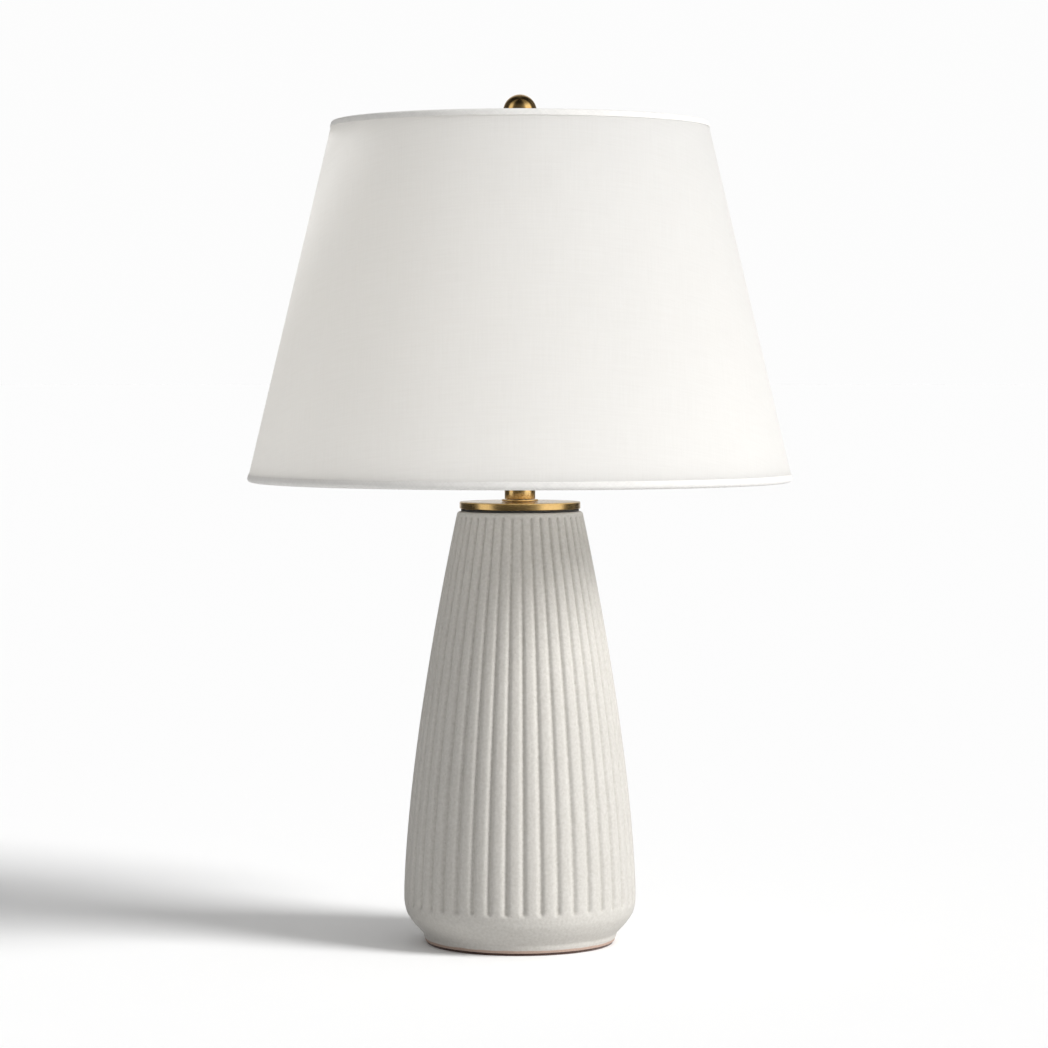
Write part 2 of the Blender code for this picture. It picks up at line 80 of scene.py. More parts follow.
# What polished metal sees round the room: degrees from the camera side, brightness
roomRing = [(-180, 0.95), (-160, 0.85), (-148, 0.12), (-100, 0.05), (-88, 0.25), (-82, 1.25),
            (-60, 1.25), (-50, 0.22), (-30, 0.10), (10, 0.16), (32, 0.45), (46, 1.6), (84, 1.6),
            (96, 0.16), (116, 0.05), (124, 0.30), (134, 0.05), (150, 0.10), (162, 0.85), (180, 0.95)]
# and from floor to ceiling: sine of the height, share of the ring that is left
roomHeight = [(-1.0, 0.75), (-0.35, 0.8), (-0.12, 1.0), (0.55, 1.0), (0.8, 0.25), (1.0, 0.10)]


def setupCamera():
    data = bpy.data.cameras.new("camera")
    data.lens = studio["lens"]
    camera = bpy.data.objects.new("camera", data)
    camera.location = studio["cameraPlace"]
    camera.rotation_euler = (math.radians(90 + studio["cameraTilt"]), 0, 0)
    bpy.context.scene.collection.objects.link(camera)
    bpy.context.scene.camera = camera
    bpy.context.scene.view_settings.view_transform = "Standard"


def setupKey():
    turn = math.radians(studio["keyTurn"])
    height = math.radians(studio["keyHeight"])
    towards = Vector((math.sin(turn) * math.cos(height), -math.cos(turn) * math.cos(height),
                      math.sin(height)))
    data = bpy.data.lights.new("key", "SUN")
    data.energy = studio["keyStrength"]
    data.angle = math.radians(studio["keySoftness"])
    key = bpy.data.objects.new("key", data)
    key.rotation_euler = towards.to_track_quat("Z", "Y").to_euler()
    key.visible_glossy = False          # metal sees the bright panels of the room instead
    bpy.context.scene.collection.objects.link(key)


def feed(tree, value, socket):
    # a number, a colour or another node's output goes into a socket
    if isinstance(value, bpy.types.NodeSocket):
        tree.links.new(value, socket)
    else:
        socket.default_value = value


def calc(tree, operation, a, b=0.0, c=0.0):
    node = tree.nodes.new("ShaderNodeMath")
    node.operation = operation
    for value, socket in zip((a, b, c), node.inputs):
        feed(tree, value, socket)
    return node.outputs[0]


def toned(tree, share, a, b, how="MIX"):
    node = tree.nodes.new("ShaderNodeMix")
    node.data_type = "RGBA"
    node.blend_type = how
    feed(tree, share, node.inputs[0])
    feed(tree, a, node.inputs[6])
    feed(tree, b, node.inputs[7])
    return node.outputs[2]


def ramped(tree, value, low, high, start=0.0, end=1.0):
    # a value that runs smoothly from start to end while the input runs from low to high
    node = tree.nodes.new("ShaderNodeMapRange")
    node.interpolation_type = "SMOOTHSTEP"
    for number, setting in enumerate((value, low, high, start, end)):
        feed(tree, setting, node.inputs[number])
    return node.outputs[0]


def stops(tree, value, pairs):
    node = tree.nodes.new("ShaderNodeValToRGB")
    feed(tree, value, node.inputs[0])
    bar = node.color_ramp.elements
    while len(bar) < len(pairs):
        bar.new(1.0)
    for element, (place, bright) in zip(bar, pairs):
        element.position = place
        element.color = (bright, bright, bright, 1)
    return node.outputs[0]


def setupRoom():
    world = bpy.data.worlds.new("room")
    world.use_nodes = True
    tree = world.node_tree
    background = tree.nodes["Background"]
    rays = tree.nodes.new("ShaderNodeLightPath")
    where = tree.nodes.new("ShaderNodeTexCoord")
    split = tree.nodes.new("ShaderNodeSeparateXYZ")
    tree.links.new(where.outputs["Generated"], split.inputs[0])
    x, y, z = split.outputs
    turn = calc(tree, "ARCTAN2", x, calc(tree, "MULTIPLY", y, -1.0))
    ring = stops(tree, calc(tree, "MULTIPLY_ADD", turn, 0.5 / math.pi, 0.5),
                 [(degrees / 360 + 0.5, bright) for degrees, bright in roomRing])
    rise = stops(tree, calc(tree, "MULTIPLY_ADD", z, 0.5, 0.5),
                 [(sine / 2 + 0.5, share) for sine, share in roomHeight])
    panels = toned(tree, 1.0, ring, rise, "MULTIPLY")
    soft = (studio["roomLight"],) * 3 + (1,)
    seen = toned(tree, rays.outputs["Is Glossy Ray"], soft, panels)
    white = (studio["backdrop"],) * 3 + (1,)
    tree.links.new(toned(tree, rays.outputs["Is Camera Ray"], seen, white),
                   background.inputs["Color"])
    bpy.context.scene.world = world


def setupFloor():
    mesh = bpy.data.meshes.new("studio_floor")
    shape = bmesh.new()
    bmesh.ops.create_grid(shape, x_segments=4, y_segments=4, size=studio["floorSize"] / 2)
    shape.to_mesh(mesh)
    shape.free()
    floor = bpy.data.objects.new("studio_floor", mesh)
    bpy.context.scene.collection.objects.link(floor)
    paper = bpy.data.materials.new("studioPaper")
    paper.use_nodes = True
    shader = paper.node_tree.nodes["Principled BSDF"]
    shader.inputs["Base Color"].default_value = (studio["floorTone"],) * 3 + (1,)
    shader.inputs["Roughness"].default_value = 0.9
    shader.inputs["Specular IOR Level"].default_value = 0.0
    mesh.materials.append(paper)
    floor.visible_glossy = False


setupCamera()
setupKey()
setupRoom()
setupFloor()
print("studio ready")


# shared effects, as node groups
def newGroup(name, inputs, outputs):
    group = bpy.data.node_groups.new(name, "ShaderNodeTree")
    for label, kind, value in inputs:
        socket = group.interface.new_socket(label, in_out="INPUT", socket_type="NodeSocket" + kind)
        if value is not None:
            socket.default_value = value
    for label, kind in outputs:
        group.interface.new_socket(label, in_out="OUTPUT", socket_type="NodeSocket" + kind)
    start = group.nodes.new("NodeGroupInput")
    end = group.nodes.new("NodeGroupOutput")
    return group, start.outputs, end.inputs


def cloud(tree, where, scale, detail=3.0, stretch=(1, 1, 1)):
    # fractal noise about 0.5, squeezed or stretched along an axis
    mapping = tree.nodes.new("ShaderNodeMapping")
    feed(tree, where, mapping.inputs["Vector"])
    mapping.inputs["Scale"].default_value = stretch
    texture = tree.nodes.new("ShaderNodeTexNoise")
    tree.links.new(mapping.outputs[0], texture.inputs["Vector"])
    feed(tree, scale, texture.inputs["Scale"])
    texture.inputs["Detail"].default_value = detail
    return texture.outputs["Fac"]


def makeEdgeWear():
    # worn and rubbed convex edges, broken up by grain
    group, given, out = newGroup(
        "edgeWear",
        [("Vector", "Vector", None), ("Reach", "Float", 0.04), ("Grain", "Float", 600.0)],
        [("Mask", "Float")])
    shape = group.nodes.new("ShaderNodeNewGeometry")
    ridge = calc(group, "SUBTRACT", shape.outputs["Pointiness"], 0.5)
    worn = ramped(group, ridge, 0.004, given["Reach"])
    patchy = ramped(group, cloud(group, given["Vector"], given["Grain"]), 0.32, 0.62)
    group.links.new(calc(group, "MULTIPLY", worn, patchy), out["Mask"])
    return group


def makeMottle():
    # slow, uneven change over a surface: 0 to 1 about 0.5
    group, given, out = newGroup(
        "mottle", [("Vector", "Vector", None), ("Size", "Float", 0.03), ("Contrast", "Float", 1.0)],
        [("Value", "Float")])
    scale = calc(group, "DIVIDE", 1.0, given["Size"])
    value = cloud(group, given["Vector"], scale, 5.0)
    spread = calc(group, "MULTIPLY", calc(group, "SUBTRACT", value, 0.5), given["Contrast"])
    group.links.new(calc(group, "ADD", spread, 0.5), out["Value"])
    return group


def makeSpecks():
    # scattered round specks; Cover is the share of cells that hold one
    group, given, out = newGroup(
        "specks", [("Vector", "Vector", None), ("Size", "Float", 0.001), ("Cover", "Float", 0.3)],
        [("Mask", "Float")])
    cells = group.nodes.new("ShaderNodeTexVoronoi")
    group.links.new(given["Vector"], cells.inputs["Vector"])
    group.links.new(calc(group, "DIVIDE", 1.0, given["Size"]), cells.inputs["Scale"])
    tint = group.nodes.new("ShaderNodeSeparateColor")
    group.links.new(cells.outputs["Color"], tint.inputs[0])
    chosen = calc(group, "LESS_THAN", tint.outputs[0], given["Cover"])
    radius = calc(group, "MULTIPLY_ADD", tint.outputs[1], 0.25, 0.08)
    spot = ramped(group, cells.outputs["Distance"], radius, 0.0)
    group.links.new(calc(group, "MULTIPLY", spot, chosen), out["Mask"])
    return group


def makeTurningMarks():
    # fine rings left by a lathe and a polishing wheel; the vector's Y runs along the section
    group, given, out = newGroup(
        "turningMarks", [("Vector", "Vector", None), ("Fineness", "Float", 4000.0)],
        [("Height", "Float")])
    split = group.nodes.new("ShaderNodeSeparateXYZ")
    group.links.new(given["Vector"], split.inputs[0])
    angle = calc(group, "MULTIPLY", split.outputs[0], 2 * math.pi)
    join = group.nodes.new("ShaderNodeCombineXYZ")
    group.links.new(calc(group, "MULTIPLY", calc(group, "COSINE", angle), 1.6), join.inputs[0])
    group.links.new(calc(group, "MULTIPLY", calc(group, "SINE", angle), 1.6), join.inputs[1])
    group.links.new(calc(group, "MULTIPLY", split.outputs[1], given["Fineness"]), join.inputs[2])
    group.links.new(cloud(group, join.outputs[0], 1.0, 4.0), out["Height"])
    return group


def makePlainWeave():
    # one thread over, one under, with uneven thick and thin yarn; its tone is lighter on thick yarn and
    # darker where a thread lies low, which is painted shade
    group, given, out = newGroup(
        "plainWeave", [("Vector", "Vector", None), ("Pitch", "Float", 0.0007), ("Slub", "Float", 1.0)],
        [("Height", "Float"), ("SlubAndThreadShade", "Float")])
    split = group.nodes.new("ShaderNodeSeparateXYZ")
    group.links.new(given["Vector"], split.inputs[0])
    wander = calc(group, "MULTIPLY_ADD", cloud(group, given["Vector"], 220.0, 2.0), 0.9, 2000.0)
    across = calc(group, "ADD", calc(group, "DIVIDE", split.outputs[0], given["Pitch"]), wander)
    along = calc(group, "ADD", calc(group, "DIVIDE", split.outputs[1], given["Pitch"]), wander)
    roundA = calc(group, "ABSOLUTE", calc(group, "SINE", calc(group, "MULTIPLY", across, math.pi)))
    roundB = calc(group, "ABSOLUTE", calc(group, "SINE", calc(group, "MULTIPLY", along, math.pi)))
    count = calc(group, "ADD", calc(group, "FLOOR", across), calc(group, "FLOOR", along))
    over = calc(group, "MODULO", count, 2.0)
    warpTop = calc(group, "MULTIPLY", roundA, calc(group, "MULTIPLY_ADD", roundB, 0.45, 0.55))
    weftTop = calc(group, "MULTIPLY", roundB, calc(group, "MULTIPLY_ADD", roundA, 0.45, 0.55))
    cross = group.nodes.new("ShaderNodeMix")
    feed(group, over, cross.inputs[0])
    feed(group, weftTop, cross.inputs[2])
    feed(group, warpTop, cross.inputs[3])
    slubA = cloud(group, given["Vector"], 900.0, 2.0, (1, 0.035, 1))
    slubB = cloud(group, given["Vector"], 900.0, 2.0, (0.035, 1, 1))
    slub = calc(group, "SUBTRACT", calc(group, "ADD", slubA, slubB), 1.0)
    thick = calc(group, "MULTIPLY", slub, given["Slub"])
    group.links.new(calc(group, "MULTIPLY_ADD", thick, 1.2, cross.outputs[0]), out["Height"])
    # painted shade: the lower a thread lies in the weave, the darker its tone
    shade = calc(group, "MULTIPLY_ADD", calc(group, "SUBTRACT", cross.outputs[0], 0.6), 0.5, 0.5)
    group.links.new(calc(group, "MULTIPLY_ADD", thick, 1.5, shade), out["SlubAndThreadShade"])
    return group


effects = {
    "edgeWear": makeEdgeWear(),
    "mottle": makeMottle(),
    "specks": makeSpecks(),
    "turningMarks": makeTurningMarks(),
    "plainWeave": makePlainWeave(),
}
print("shared effects ready")


# materials
def newMaterial(name, colour, roughness, metallic=0.0):
    material = bpy.data.materials.new(name)
    material.use_nodes = True
    shader = material.node_tree.nodes["Principled BSDF"]
    shader.inputs["Base Color"].default_value = (*colour, 1)
    shader.inputs["Roughness"].default_value = roughness
    shader.inputs["Metallic"].default_value = metallic
    return material, material.node_tree, shader


def effect(tree, name, where, **settings):
    node = tree.nodes.new("ShaderNodeGroup")
    node.node_tree = effects[name]
    tree.links.new(where, node.inputs["Vector"])
    for label, value in settings.items():
        feed(tree, value, node.inputs[label])
    return node.outputs


def objectPlace(tree):
    return tree.nodes.new("ShaderNodeTexCoord").outputs["Object"]


def mapPlace(tree, layer):
    node = tree.nodes.new("ShaderNodeUVMap")
    node.uv_map = layer
    return node.outputs[0]


def raised(tree, shader, height, distance, strength=1.0):
    bump = tree.nodes.new("ShaderNodeBump")
    bump.inputs["Strength"].default_value = strength
    bump.inputs["Distance"].default_value = distance
    feed(tree, height, bump.inputs["Height"])
    tree.links.new(bump.outputs[0], shader.inputs["Normal"])


def metal(name, colour, roughness, look):
    # turned or drawn metal: rings, a little tarnish, bright rubbed edges
    material, tree, shader = newMaterial(name, colour, roughness, 1.0)
    place = objectPlace(tree)
    patches = effect(tree, "mottle", place, Size=look["patch"])["Value"]
    worn = effect(tree, "edgeWear", place)["Mask"]
    marks = effect(tree, "turningMarks", mapPlace(tree, "turned"), Fineness=look["fineness"])["Height"]
    base = toned(tree, calc(tree, "MULTIPLY", patches, look["tarnish"]), (*colour, 1),
                 (*look["dark"], 1))
    bright = toned(tree, calc(tree, "MULTIPLY", worn, 0.35), base, (*look["bright"], 1))
    tree.links.new(bright, shader.inputs["Base Color"])
    rough = calc(tree, "MULTIPLY_ADD", patches, 0.16, roughness - 0.08)
    rough = calc(tree, "MULTIPLY_ADD", marks, 0.12, calc(tree, "SUBTRACT", rough, 0.06))
    tree.links.new(calc(tree, "MULTIPLY_ADD", worn, -0.06, rough), shader.inputs["Roughness"])
    raised(tree, shader, marks, look["marks"])
    return material, shader


def makeBrass(name, roughness, marks):
    look = {"patch": 0.02, "fineness": 5200.0, "tarnish": 0.5, "marks": marks,
            "dark": (0.44, 0.26, 0.085), "bright": (0.86, 0.66, 0.36)}
    material, shader = metal(name, (0.62, 0.41, 0.155), roughness, look)
    shader.inputs["Coat Weight"].default_value = 0.2        # clear lacquer
    shader.inputs["Coat Roughness"].default_value = 0.12
    return material


def makeSteel(name, colour, roughness):
    look = {"patch": 0.006, "fineness": 3600.0, "tarnish": 0.5, "marks": 0.00001,
            "dark": tuple(0.62 * c for c in colour), "bright": (0.82, 0.82, 0.83)}
    return metal(name, colour, roughness, look)[0]


stoneware = {
    "glaze": (0.470, 0.452, 0.420),
    "glazeThin": (0.60, 0.585, 0.555),      # where it breaks over an edge
    # darker glaze: used for real uneven tone, and for painted shade in the grooves and hollows
    "glazeDarkAndShaded": (0.375, 0.355, 0.32),
    "speck": (0.22, 0.18, 0.14),
    "clay": (0.47, 0.345, 0.285),
    "glazeLine": 4.0 * mm,                  # bare clay below this height
}


def makeStoneware():
    look = stoneware
    material, tree, shader = newMaterial("stonewareGlaze", look["glaze"], 0.5)
    place = objectPlace(tree)
    shape = tree.nodes.new("ShaderNodeNewGeometry")
    # painted shade: the glaze is darkened in the grooves and hollows
    hollowShade = ramped(tree, shape.outputs["Pointiness"], 0.5, 0.47)
    slow = effect(tree, "mottle", place, Size=0.035, Contrast=1.5)["Value"]
    fine = effect(tree, "mottle", place, Size=0.0022, Contrast=3.0)["Value"]
    thin = effect(tree, "edgeWear", place, Reach=0.05, Grain=300.0)["Mask"]
    specks = effect(tree, "specks", place, Size=0.0021, Cover=0.16)["Mask"]
    pale = effect(tree, "specks", place, Size=0.0013, Cover=0.30)["Mask"]
    glaze = toned(tree, calc(tree, "MULTIPLY", slow, 0.35), (*look["glaze"], 1), (*look["glazeDarkAndShaded"], 1))
    glaze = toned(tree, calc(tree, "MULTIPLY", hollowShade, 0.5), glaze, (*look["glazeDarkAndShaded"], 1))
    glaze = toned(tree, calc(tree, "MULTIPLY", fine, 0.42), glaze, (*look["glazeThin"], 1))
    glaze = toned(tree, calc(tree, "MULTIPLY", thin, 0.5), glaze, (*look["glazeThin"], 1))
    glaze = toned(tree, calc(tree, "MULTIPLY", pale, 0.35), glaze, (*look["glazeThin"], 1))
    glaze = toned(tree, calc(tree, "MULTIPLY", specks, 0.42), glaze, (*look["speck"], 1))
    # bare clay at the foot and under it
    split = tree.nodes.new("ShaderNodeSeparateXYZ")
    tree.links.new(place, split.inputs[0])
    edge = calc(tree, "MULTIPLY_ADD", cloud(tree, place, 60.0, 3.0), 1.6 * mm, look["glazeLine"] - 0.8 * mm)
    low = ramped(tree, calc(tree, "SUBTRACT", split.outputs[2], edge), 0.25 * mm, -0.25 * mm)
    facing = tree.nodes.new("ShaderNodeSeparateXYZ")
    tree.links.new(shape.outputs["Normal"], facing.inputs[0])
    radius = calc(tree, "SQRT", calc(tree, "ADD", calc(tree, "POWER", split.outputs[0], 2.0),
                                     calc(tree, "POWER", split.outputs[1], 2.0)))
    under = calc(tree, "MULTIPLY", ramped(tree, split.outputs[2], 15.6 * mm, 15.2 * mm),
                 ramped(tree, radius, 65.5 * mm, 65.0 * mm))
    bare = calc(tree, "MAXIMUM", low, under)
    grit = effect(tree, "mottle", place, Size=0.0007, Contrast=2.4)["Value"]
    clay = toned(tree, grit, (*look["clay"], 1), tuple(0.78 * c for c in look["clay"]) + (1,))
    tree.links.new(toned(tree, bare, glaze, clay), shader.inputs["Base Color"])
    satin = calc(tree, "MULTIPLY_ADD", fine, 0.18, 0.40)
    satin = calc(tree, "MULTIPLY_ADD", slow, 0.10, satin)
    rough = calc(tree, "MAXIMUM", satin, calc(tree, "MULTIPLY", bare, 0.9))
    tree.links.new(rough, shader.inputs["Roughness"])
    skin = calc(tree, "MULTIPLY_ADD", fine, 0.5, calc(tree, "MULTIPLY", specks, -0.5))
    skin = calc(tree, "ADD", skin, calc(tree, "MULTIPLY", grit, calc(tree, "MULTIPLY", bare, 1.2)))
    raised(tree, shader, skin, 0.16 * mm)
    shader.inputs["Specular IOR Level"].default_value = 0.42
    return material


linen = {
    "yarn": (0.965, 0.968, 0.972),
    # the darker yarn, also used for the painted shade between threads
    "darkAndShadedYarn": (0.83, 0.832, 0.835),
    "through": 0.66,            # share of the light that comes through the cloth
    "pitch": 0.62 * mm,
    "linerPass": 0.62,          # share of a lamp's or the key's light each face of the liner lets by
}


def makeLinen(name, through, hidden=False, tint=(1, 1, 1)):
    look = linen
    yarn = tuple(c * t for c, t in zip(look["yarn"], tint)) + (1,)
    darkAndShadedYarn = tuple(c * t for c, t in zip(look["darkAndShadedYarn"], tint)) + (1,)
    material, tree, shader = newMaterial(name, yarn[:3], 0.85)
    place = mapPlace(tree, "weave")
    weave = effect(tree, "plainWeave", place, Pitch=look["pitch"])
    slow = effect(tree, "mottle", place, Size=0.05, Contrast=1.2)["Value"]
    # painted shade between threads from the weave's tone, plus slow uneven tone that is real
    dark = calc(tree, "SUBTRACT", 0.75, calc(tree, "MULTIPLY", weave["SlubAndThreadShade"], 0.9))
    dark = calc(tree, "MULTIPLY_ADD", slow, 0.16, dark)
    cloth = toned(tree, dark, yarn, darkAndShadedYarn)
    tree.links.new(cloth, shader.inputs["Base Color"])
    raised(tree, shader, weave["Height"], 0.10 * mm, 0.7)
    shader.inputs["Specular IOR Level"].default_value = 0.2
    shader.inputs["Sheen Weight"].default_value = 0.15
    end = tree.nodes["Material Output"]
    glow = tree.nodes.new("ShaderNodeBsdfTranslucent")
    glow.inputs["Color"].default_value = (1, 0.997, 0.988, 1)
    both = tree.nodes.new("ShaderNodeMixShader")
    both.inputs[0].default_value = through
    tree.links.new(shader.outputs[0], both.inputs[1])
    tree.links.new(glow.outputs[0], both.inputs[2])
    tree.links.new(both.outputs[0], end.inputs["Surface"])
    if hidden:                  # the glued face: seen as cloth, and open to light
        letThrough(tree, both.outputs[0], end, (1, 1, 1, 1))
    return material


def letThrough(tree, surface, end, colour):
    # the camera sees the surface, and all other rays go on through it
    rays = tree.nodes.new("ShaderNodeLightPath")
    clear = tree.nodes.new("ShaderNodeBsdfTransparent")
    feed(tree, colour, clear.inputs["Color"])
    choice = tree.nodes.new("ShaderNodeMixShader")
    tree.links.new(rays.outputs["Is Camera Ray"], choice.inputs[0])
    tree.links.new(clear.outputs[0], choice.inputs[1])
    tree.links.new(surface, choice.inputs[2])
    tree.links.new(choice.outputs[0], end.inputs["Surface"])
    return rays


def makeLiner():
    material, tree, shader = newMaterial("styreneLiner", (0.90, 0.895, 0.885), 0.42)
    place = objectPlace(tree)
    haze = effect(tree, "mottle", place, Size=0.04)["Value"]
    dust = effect(tree, "specks", place, Size=0.004, Cover=0.12)["Mask"]
    tone = toned(tree, calc(tree, "MULTIPLY", haze, 0.4), (0.90, 0.895, 0.885, 1), (0.85, 0.84, 0.82, 1))
    tree.links.new(toned(tree, calc(tree, "MULTIPLY", dust, 0.25), tone, (0.62, 0.60, 0.56, 1)),
                   shader.inputs["Base Color"])
    tree.links.new(calc(tree, "MULTIPLY_ADD", haze, 0.2, 0.34), shader.inputs["Roughness"])
    raised(tree, shader, effect(tree, "mottle", place, Size=0.0009)["Value"], 0.02 * mm)
    end = tree.nodes["Material Output"]
    share = linen["linerPass"]
    gate = tree.nodes.new("ShaderNodeMix")
    gate.data_type = "RGBA"
    gate.inputs[6].default_value = (1, 0.99, 0.97, 1)
    gate.inputs[7].default_value = (share, share, share, 1)
    rays = letThrough(tree, shader.outputs[0], end, gate.outputs[2])
    tree.links.new(rays.outputs["Is Shadow Ray"], gate.inputs[0])
    return material


def makeFelt():
    material, tree, shader = newMaterial("brownFelt", (0.075, 0.045, 0.038), 0.95)
    place = objectPlace(tree)
    fibres = cloud(tree, place, 2600.0, 4.0, (1, 0.25, 1))
    tufts = effect(tree, "mottle", place, Size=0.003, Contrast=1.6)["Value"]
    tone = calc(tree, "MULTIPLY", calc(tree, "ADD", fibres, tufts), 0.5)
    tree.links.new(toned(tree, tone, (0.045, 0.027, 0.023, 1), (0.12, 0.075, 0.062, 1)),
                   shader.inputs["Base Color"])
    raised(tree, shader, calc(tree, "ADD", fibres, tufts), 0.25 * mm)
    shader.inputs["Sheen Weight"].default_value = 0.4
    shader.inputs["Specular IOR Level"].default_value = 0.15
    return material


def makeDull(name, dark, light, roughness, grain, bumpHeight):
    # rubber, fibre board, moulded phenolic and glass coating differ only in tone, grain and gloss
    material, tree, shader = newMaterial(name, dark, roughness)
    place = objectPlace(tree)
    tone = effect(tree, "mottle", place, Size=grain, Contrast=1.6)["Value"]
    dust = effect(tree, "specks", place, Size=grain * 2, Cover=0.2)["Mask"]
    worn = effect(tree, "edgeWear", place, Grain=900.0)["Mask"]
    share = calc(tree, "MULTIPLY_ADD", dust, 0.25, calc(tree, "MULTIPLY", tone, 0.6))
    share = calc(tree, "MULTIPLY_ADD", worn, 0.4, share)
    tree.links.new(toned(tree, share, (*dark, 1), (*light, 1)), shader.inputs["Base Color"])
    tree.links.new(calc(tree, "MULTIPLY_ADD", tone, 0.16, roughness - 0.08), shader.inputs["Roughness"])
    raised(tree, shader, tone, bumpHeight)
    return material


finish = {
    "glaze": makeStoneware(),
    "satinBrass": makeBrass("satinBrass", 0.22, 0.000004),
    "polishedBrass": makeBrass("polishedBrass", 0.17, 0.000003),
    "plainBrass": makeBrass("plainBrass", 0.36, 0.00002),
    "zincSteel": makeSteel("zincSteel", (0.60, 0.605, 0.61), 0.36),
    "aluminium": makeSteel("bulbAluminium", (0.74, 0.74, 0.75), 0.32),
    "linen": makeLinen("linenCloth", linen["through"]),
    "linenBack": makeLinen("linenBack", linen["through"], True),
    "hemLinen": makeLinen("hemLinen", 0.32, False, (0.90, 0.885, 0.86)),
    "liner": makeLiner(),
    "felt": makeFelt(),
    "rubber": makeDull("blackRubber", (0.018, 0.018, 0.018), (0.06, 0.058, 0.055), 0.72, 0.002, 0.04 * mm),
    "fibre": makeDull("fibreBoard", (0.20, 0.135, 0.08), (0.40, 0.31, 0.21), 0.85, 0.0012, 0.06 * mm),
    "phenolic": makeDull("blackPhenolic", (0.012, 0.011, 0.010), (0.05, 0.048, 0.045), 0.34, 0.003,
                         0.01 * mm),
    "insulator": makeDull("blackGlass", (0.008, 0.008, 0.009), (0.03, 0.03, 0.032), 0.18, 0.002, 0.004 * mm),
    "frosted": makeDull("frostedGlass", (0.80, 0.80, 0.785), (0.90, 0.90, 0.885), 0.42, 0.0012, 0.012 * mm),
}
print("materials ready:", len(finish))


# making meshes
def span(node):
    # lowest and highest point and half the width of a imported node
    low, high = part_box(node)
    return low.z, high.z, (high.x - low.x) / 2


def newPiece(name, mesh, body, look, slot, *nodes):
    mesh.materials.append(finish[look])
    piece = bpy.data.objects.new(name, mesh)
    bpy.context.scene.collection.objects.link(piece)
    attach(piece, body)
    if nodes:
        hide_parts(*nodes)
    return piece


def smoothMesh(mesh, sharpest=38):
    mesh.shade_smooth()
    mesh.set_sharp_from_angle(angle=math.radians(sharpest))


def softCorners(corners, steps=3):
    # (r, z) or (r, z, size): each corner with a size is rounded off over that distance
    points = []
    for number, corner in enumerate(corners):
        here = Vector(corner[:2])
        size = corner[2] if len(corner) > 2 else 0
        if size == 0:
            points.append(tuple(here))
            continue
        before = Vector(corners[number - 1][:2]) - here
        after = Vector(corners[(number + 1) % len(corners)][:2]) - here
        cut = min(size, before.length / 2.02, after.length / 2.02)
        start = here + before.normalized() * cut
        end = here + after.normalized() * cut
        for k in range(steps + 1):
            t = k / steps
            points.append(tuple(start.lerp(here, t).lerp(here.lerp(end, t), t)))
    return points


def ring(inner, outer, low, high, size):
    return softCorners([(inner, high, size), (outer, high, size), (outer, low, size),
                        (inner, low, size)])


def disc(radius, low, high, size):
    return softCorners([(0, high), (radius, high, size), (radius, low, size), (0, low)])


def throughPoints(points, steps):
    # a smooth curve through every point
    out = []
    for i in range(len(points) - 1):
        a, b, c, d = (Vector(points[max(0, min(len(points) - 1, i + k))]) for k in (-1, 0, 1, 2))
        for step in range(steps):
            t = step / steps
            out.append(tuple(0.5 * (2 * b + (c - a) * t + (2 * a - 5 * b + 4 * c - d) * t * t
                                    + (3 * b - a - 3 * c + d) * t ** 3)))
    return out + [tuple(points[-1])]


def run(start, end, count):
    # evenly spaced points from start up to, and without, end
    return [tuple(Vector(start).lerp(Vector(end), k / count)) for k in range(count)]


def spin(name, outline, steps=72, warp=None, place=None):
    # turns a closed outline about Z; its points at r = 0 are poles
    pairs = zip(outline, outline[1:] + outline[:1])
    if sum(a[0] * b[1] - b[0] * a[1] for a, b in pairs) > 0:
        outline = outline[::-1]
    verts, rows, length = [], [], [0.0]
    for number, (r, z) in enumerate(outline):
        if number:
            length.append(length[-1] + math.dist(outline[number - 1], (r, z)))
        if r < 1e-7:
            rows.append([len(verts)] * (steps + 1))
            verts.append((0, 0, z))
            continue
        rows.append([len(verts) + j % steps for j in range(steps + 1)])
        for j in range(steps):
            angle = 2 * math.pi * j / steps
            reach = warp(r, z, angle) if warp else r
            verts.append((reach * math.cos(angle), reach * math.sin(angle), z))
    length.append(length[-1] + math.dist(outline[-1], outline[0]))
    faces, spread = [], []
    for i in range(len(rows)):
        k = (i + 1) % len(rows)
        if outline[i][0] < 1e-7 and outline[k][0] < 1e-7:
            continue
        for j in range(steps):
            corners = [(i, j, length[i]), (k, j, length[i + 1]), (k, j + 1, length[i + 1]),
                       (i, j + 1, length[i])]
            if outline[k][0] < 1e-7:
                corners.pop(2)
            if outline[i][0] < 1e-7:
                corners.pop(3)
            faces.append([rows[a][b] for a, b, v in corners])
            spread += [(b / steps, v) for a, b, v in corners]
    mesh = bpy.data.meshes.new(name)
    mesh.from_pydata(verts, [], faces)
    layer = mesh.uv_layers.new(name="turned")
    layer.data.foreach_set("uv", [value for pair in spread for value in pair])
    if place:
        mesh.transform(place)
    smoothMesh(mesh)
    return mesh


def cutAway(piece, mesh):
    # takes a closed shape out of a piece, for a hole or a slot
    tool = bpy.data.objects.new("tool", mesh)
    bpy.context.scene.collection.objects.link(tool)
    boolean = piece.modifiers.new("cut", "BOOLEAN")
    boolean.solver = "EXACT"
    boolean.object = tool
    depsgraph = bpy.context.evaluated_depsgraph_get()
    cut = bpy.data.meshes.new_from_object(piece.evaluated_get(depsgraph), depsgraph=depsgraph)
    piece.modifiers.clear()
    piece.data = cut
    smoothMesh(cut)
    bpy.data.objects.remove(tool, do_unlink=True)


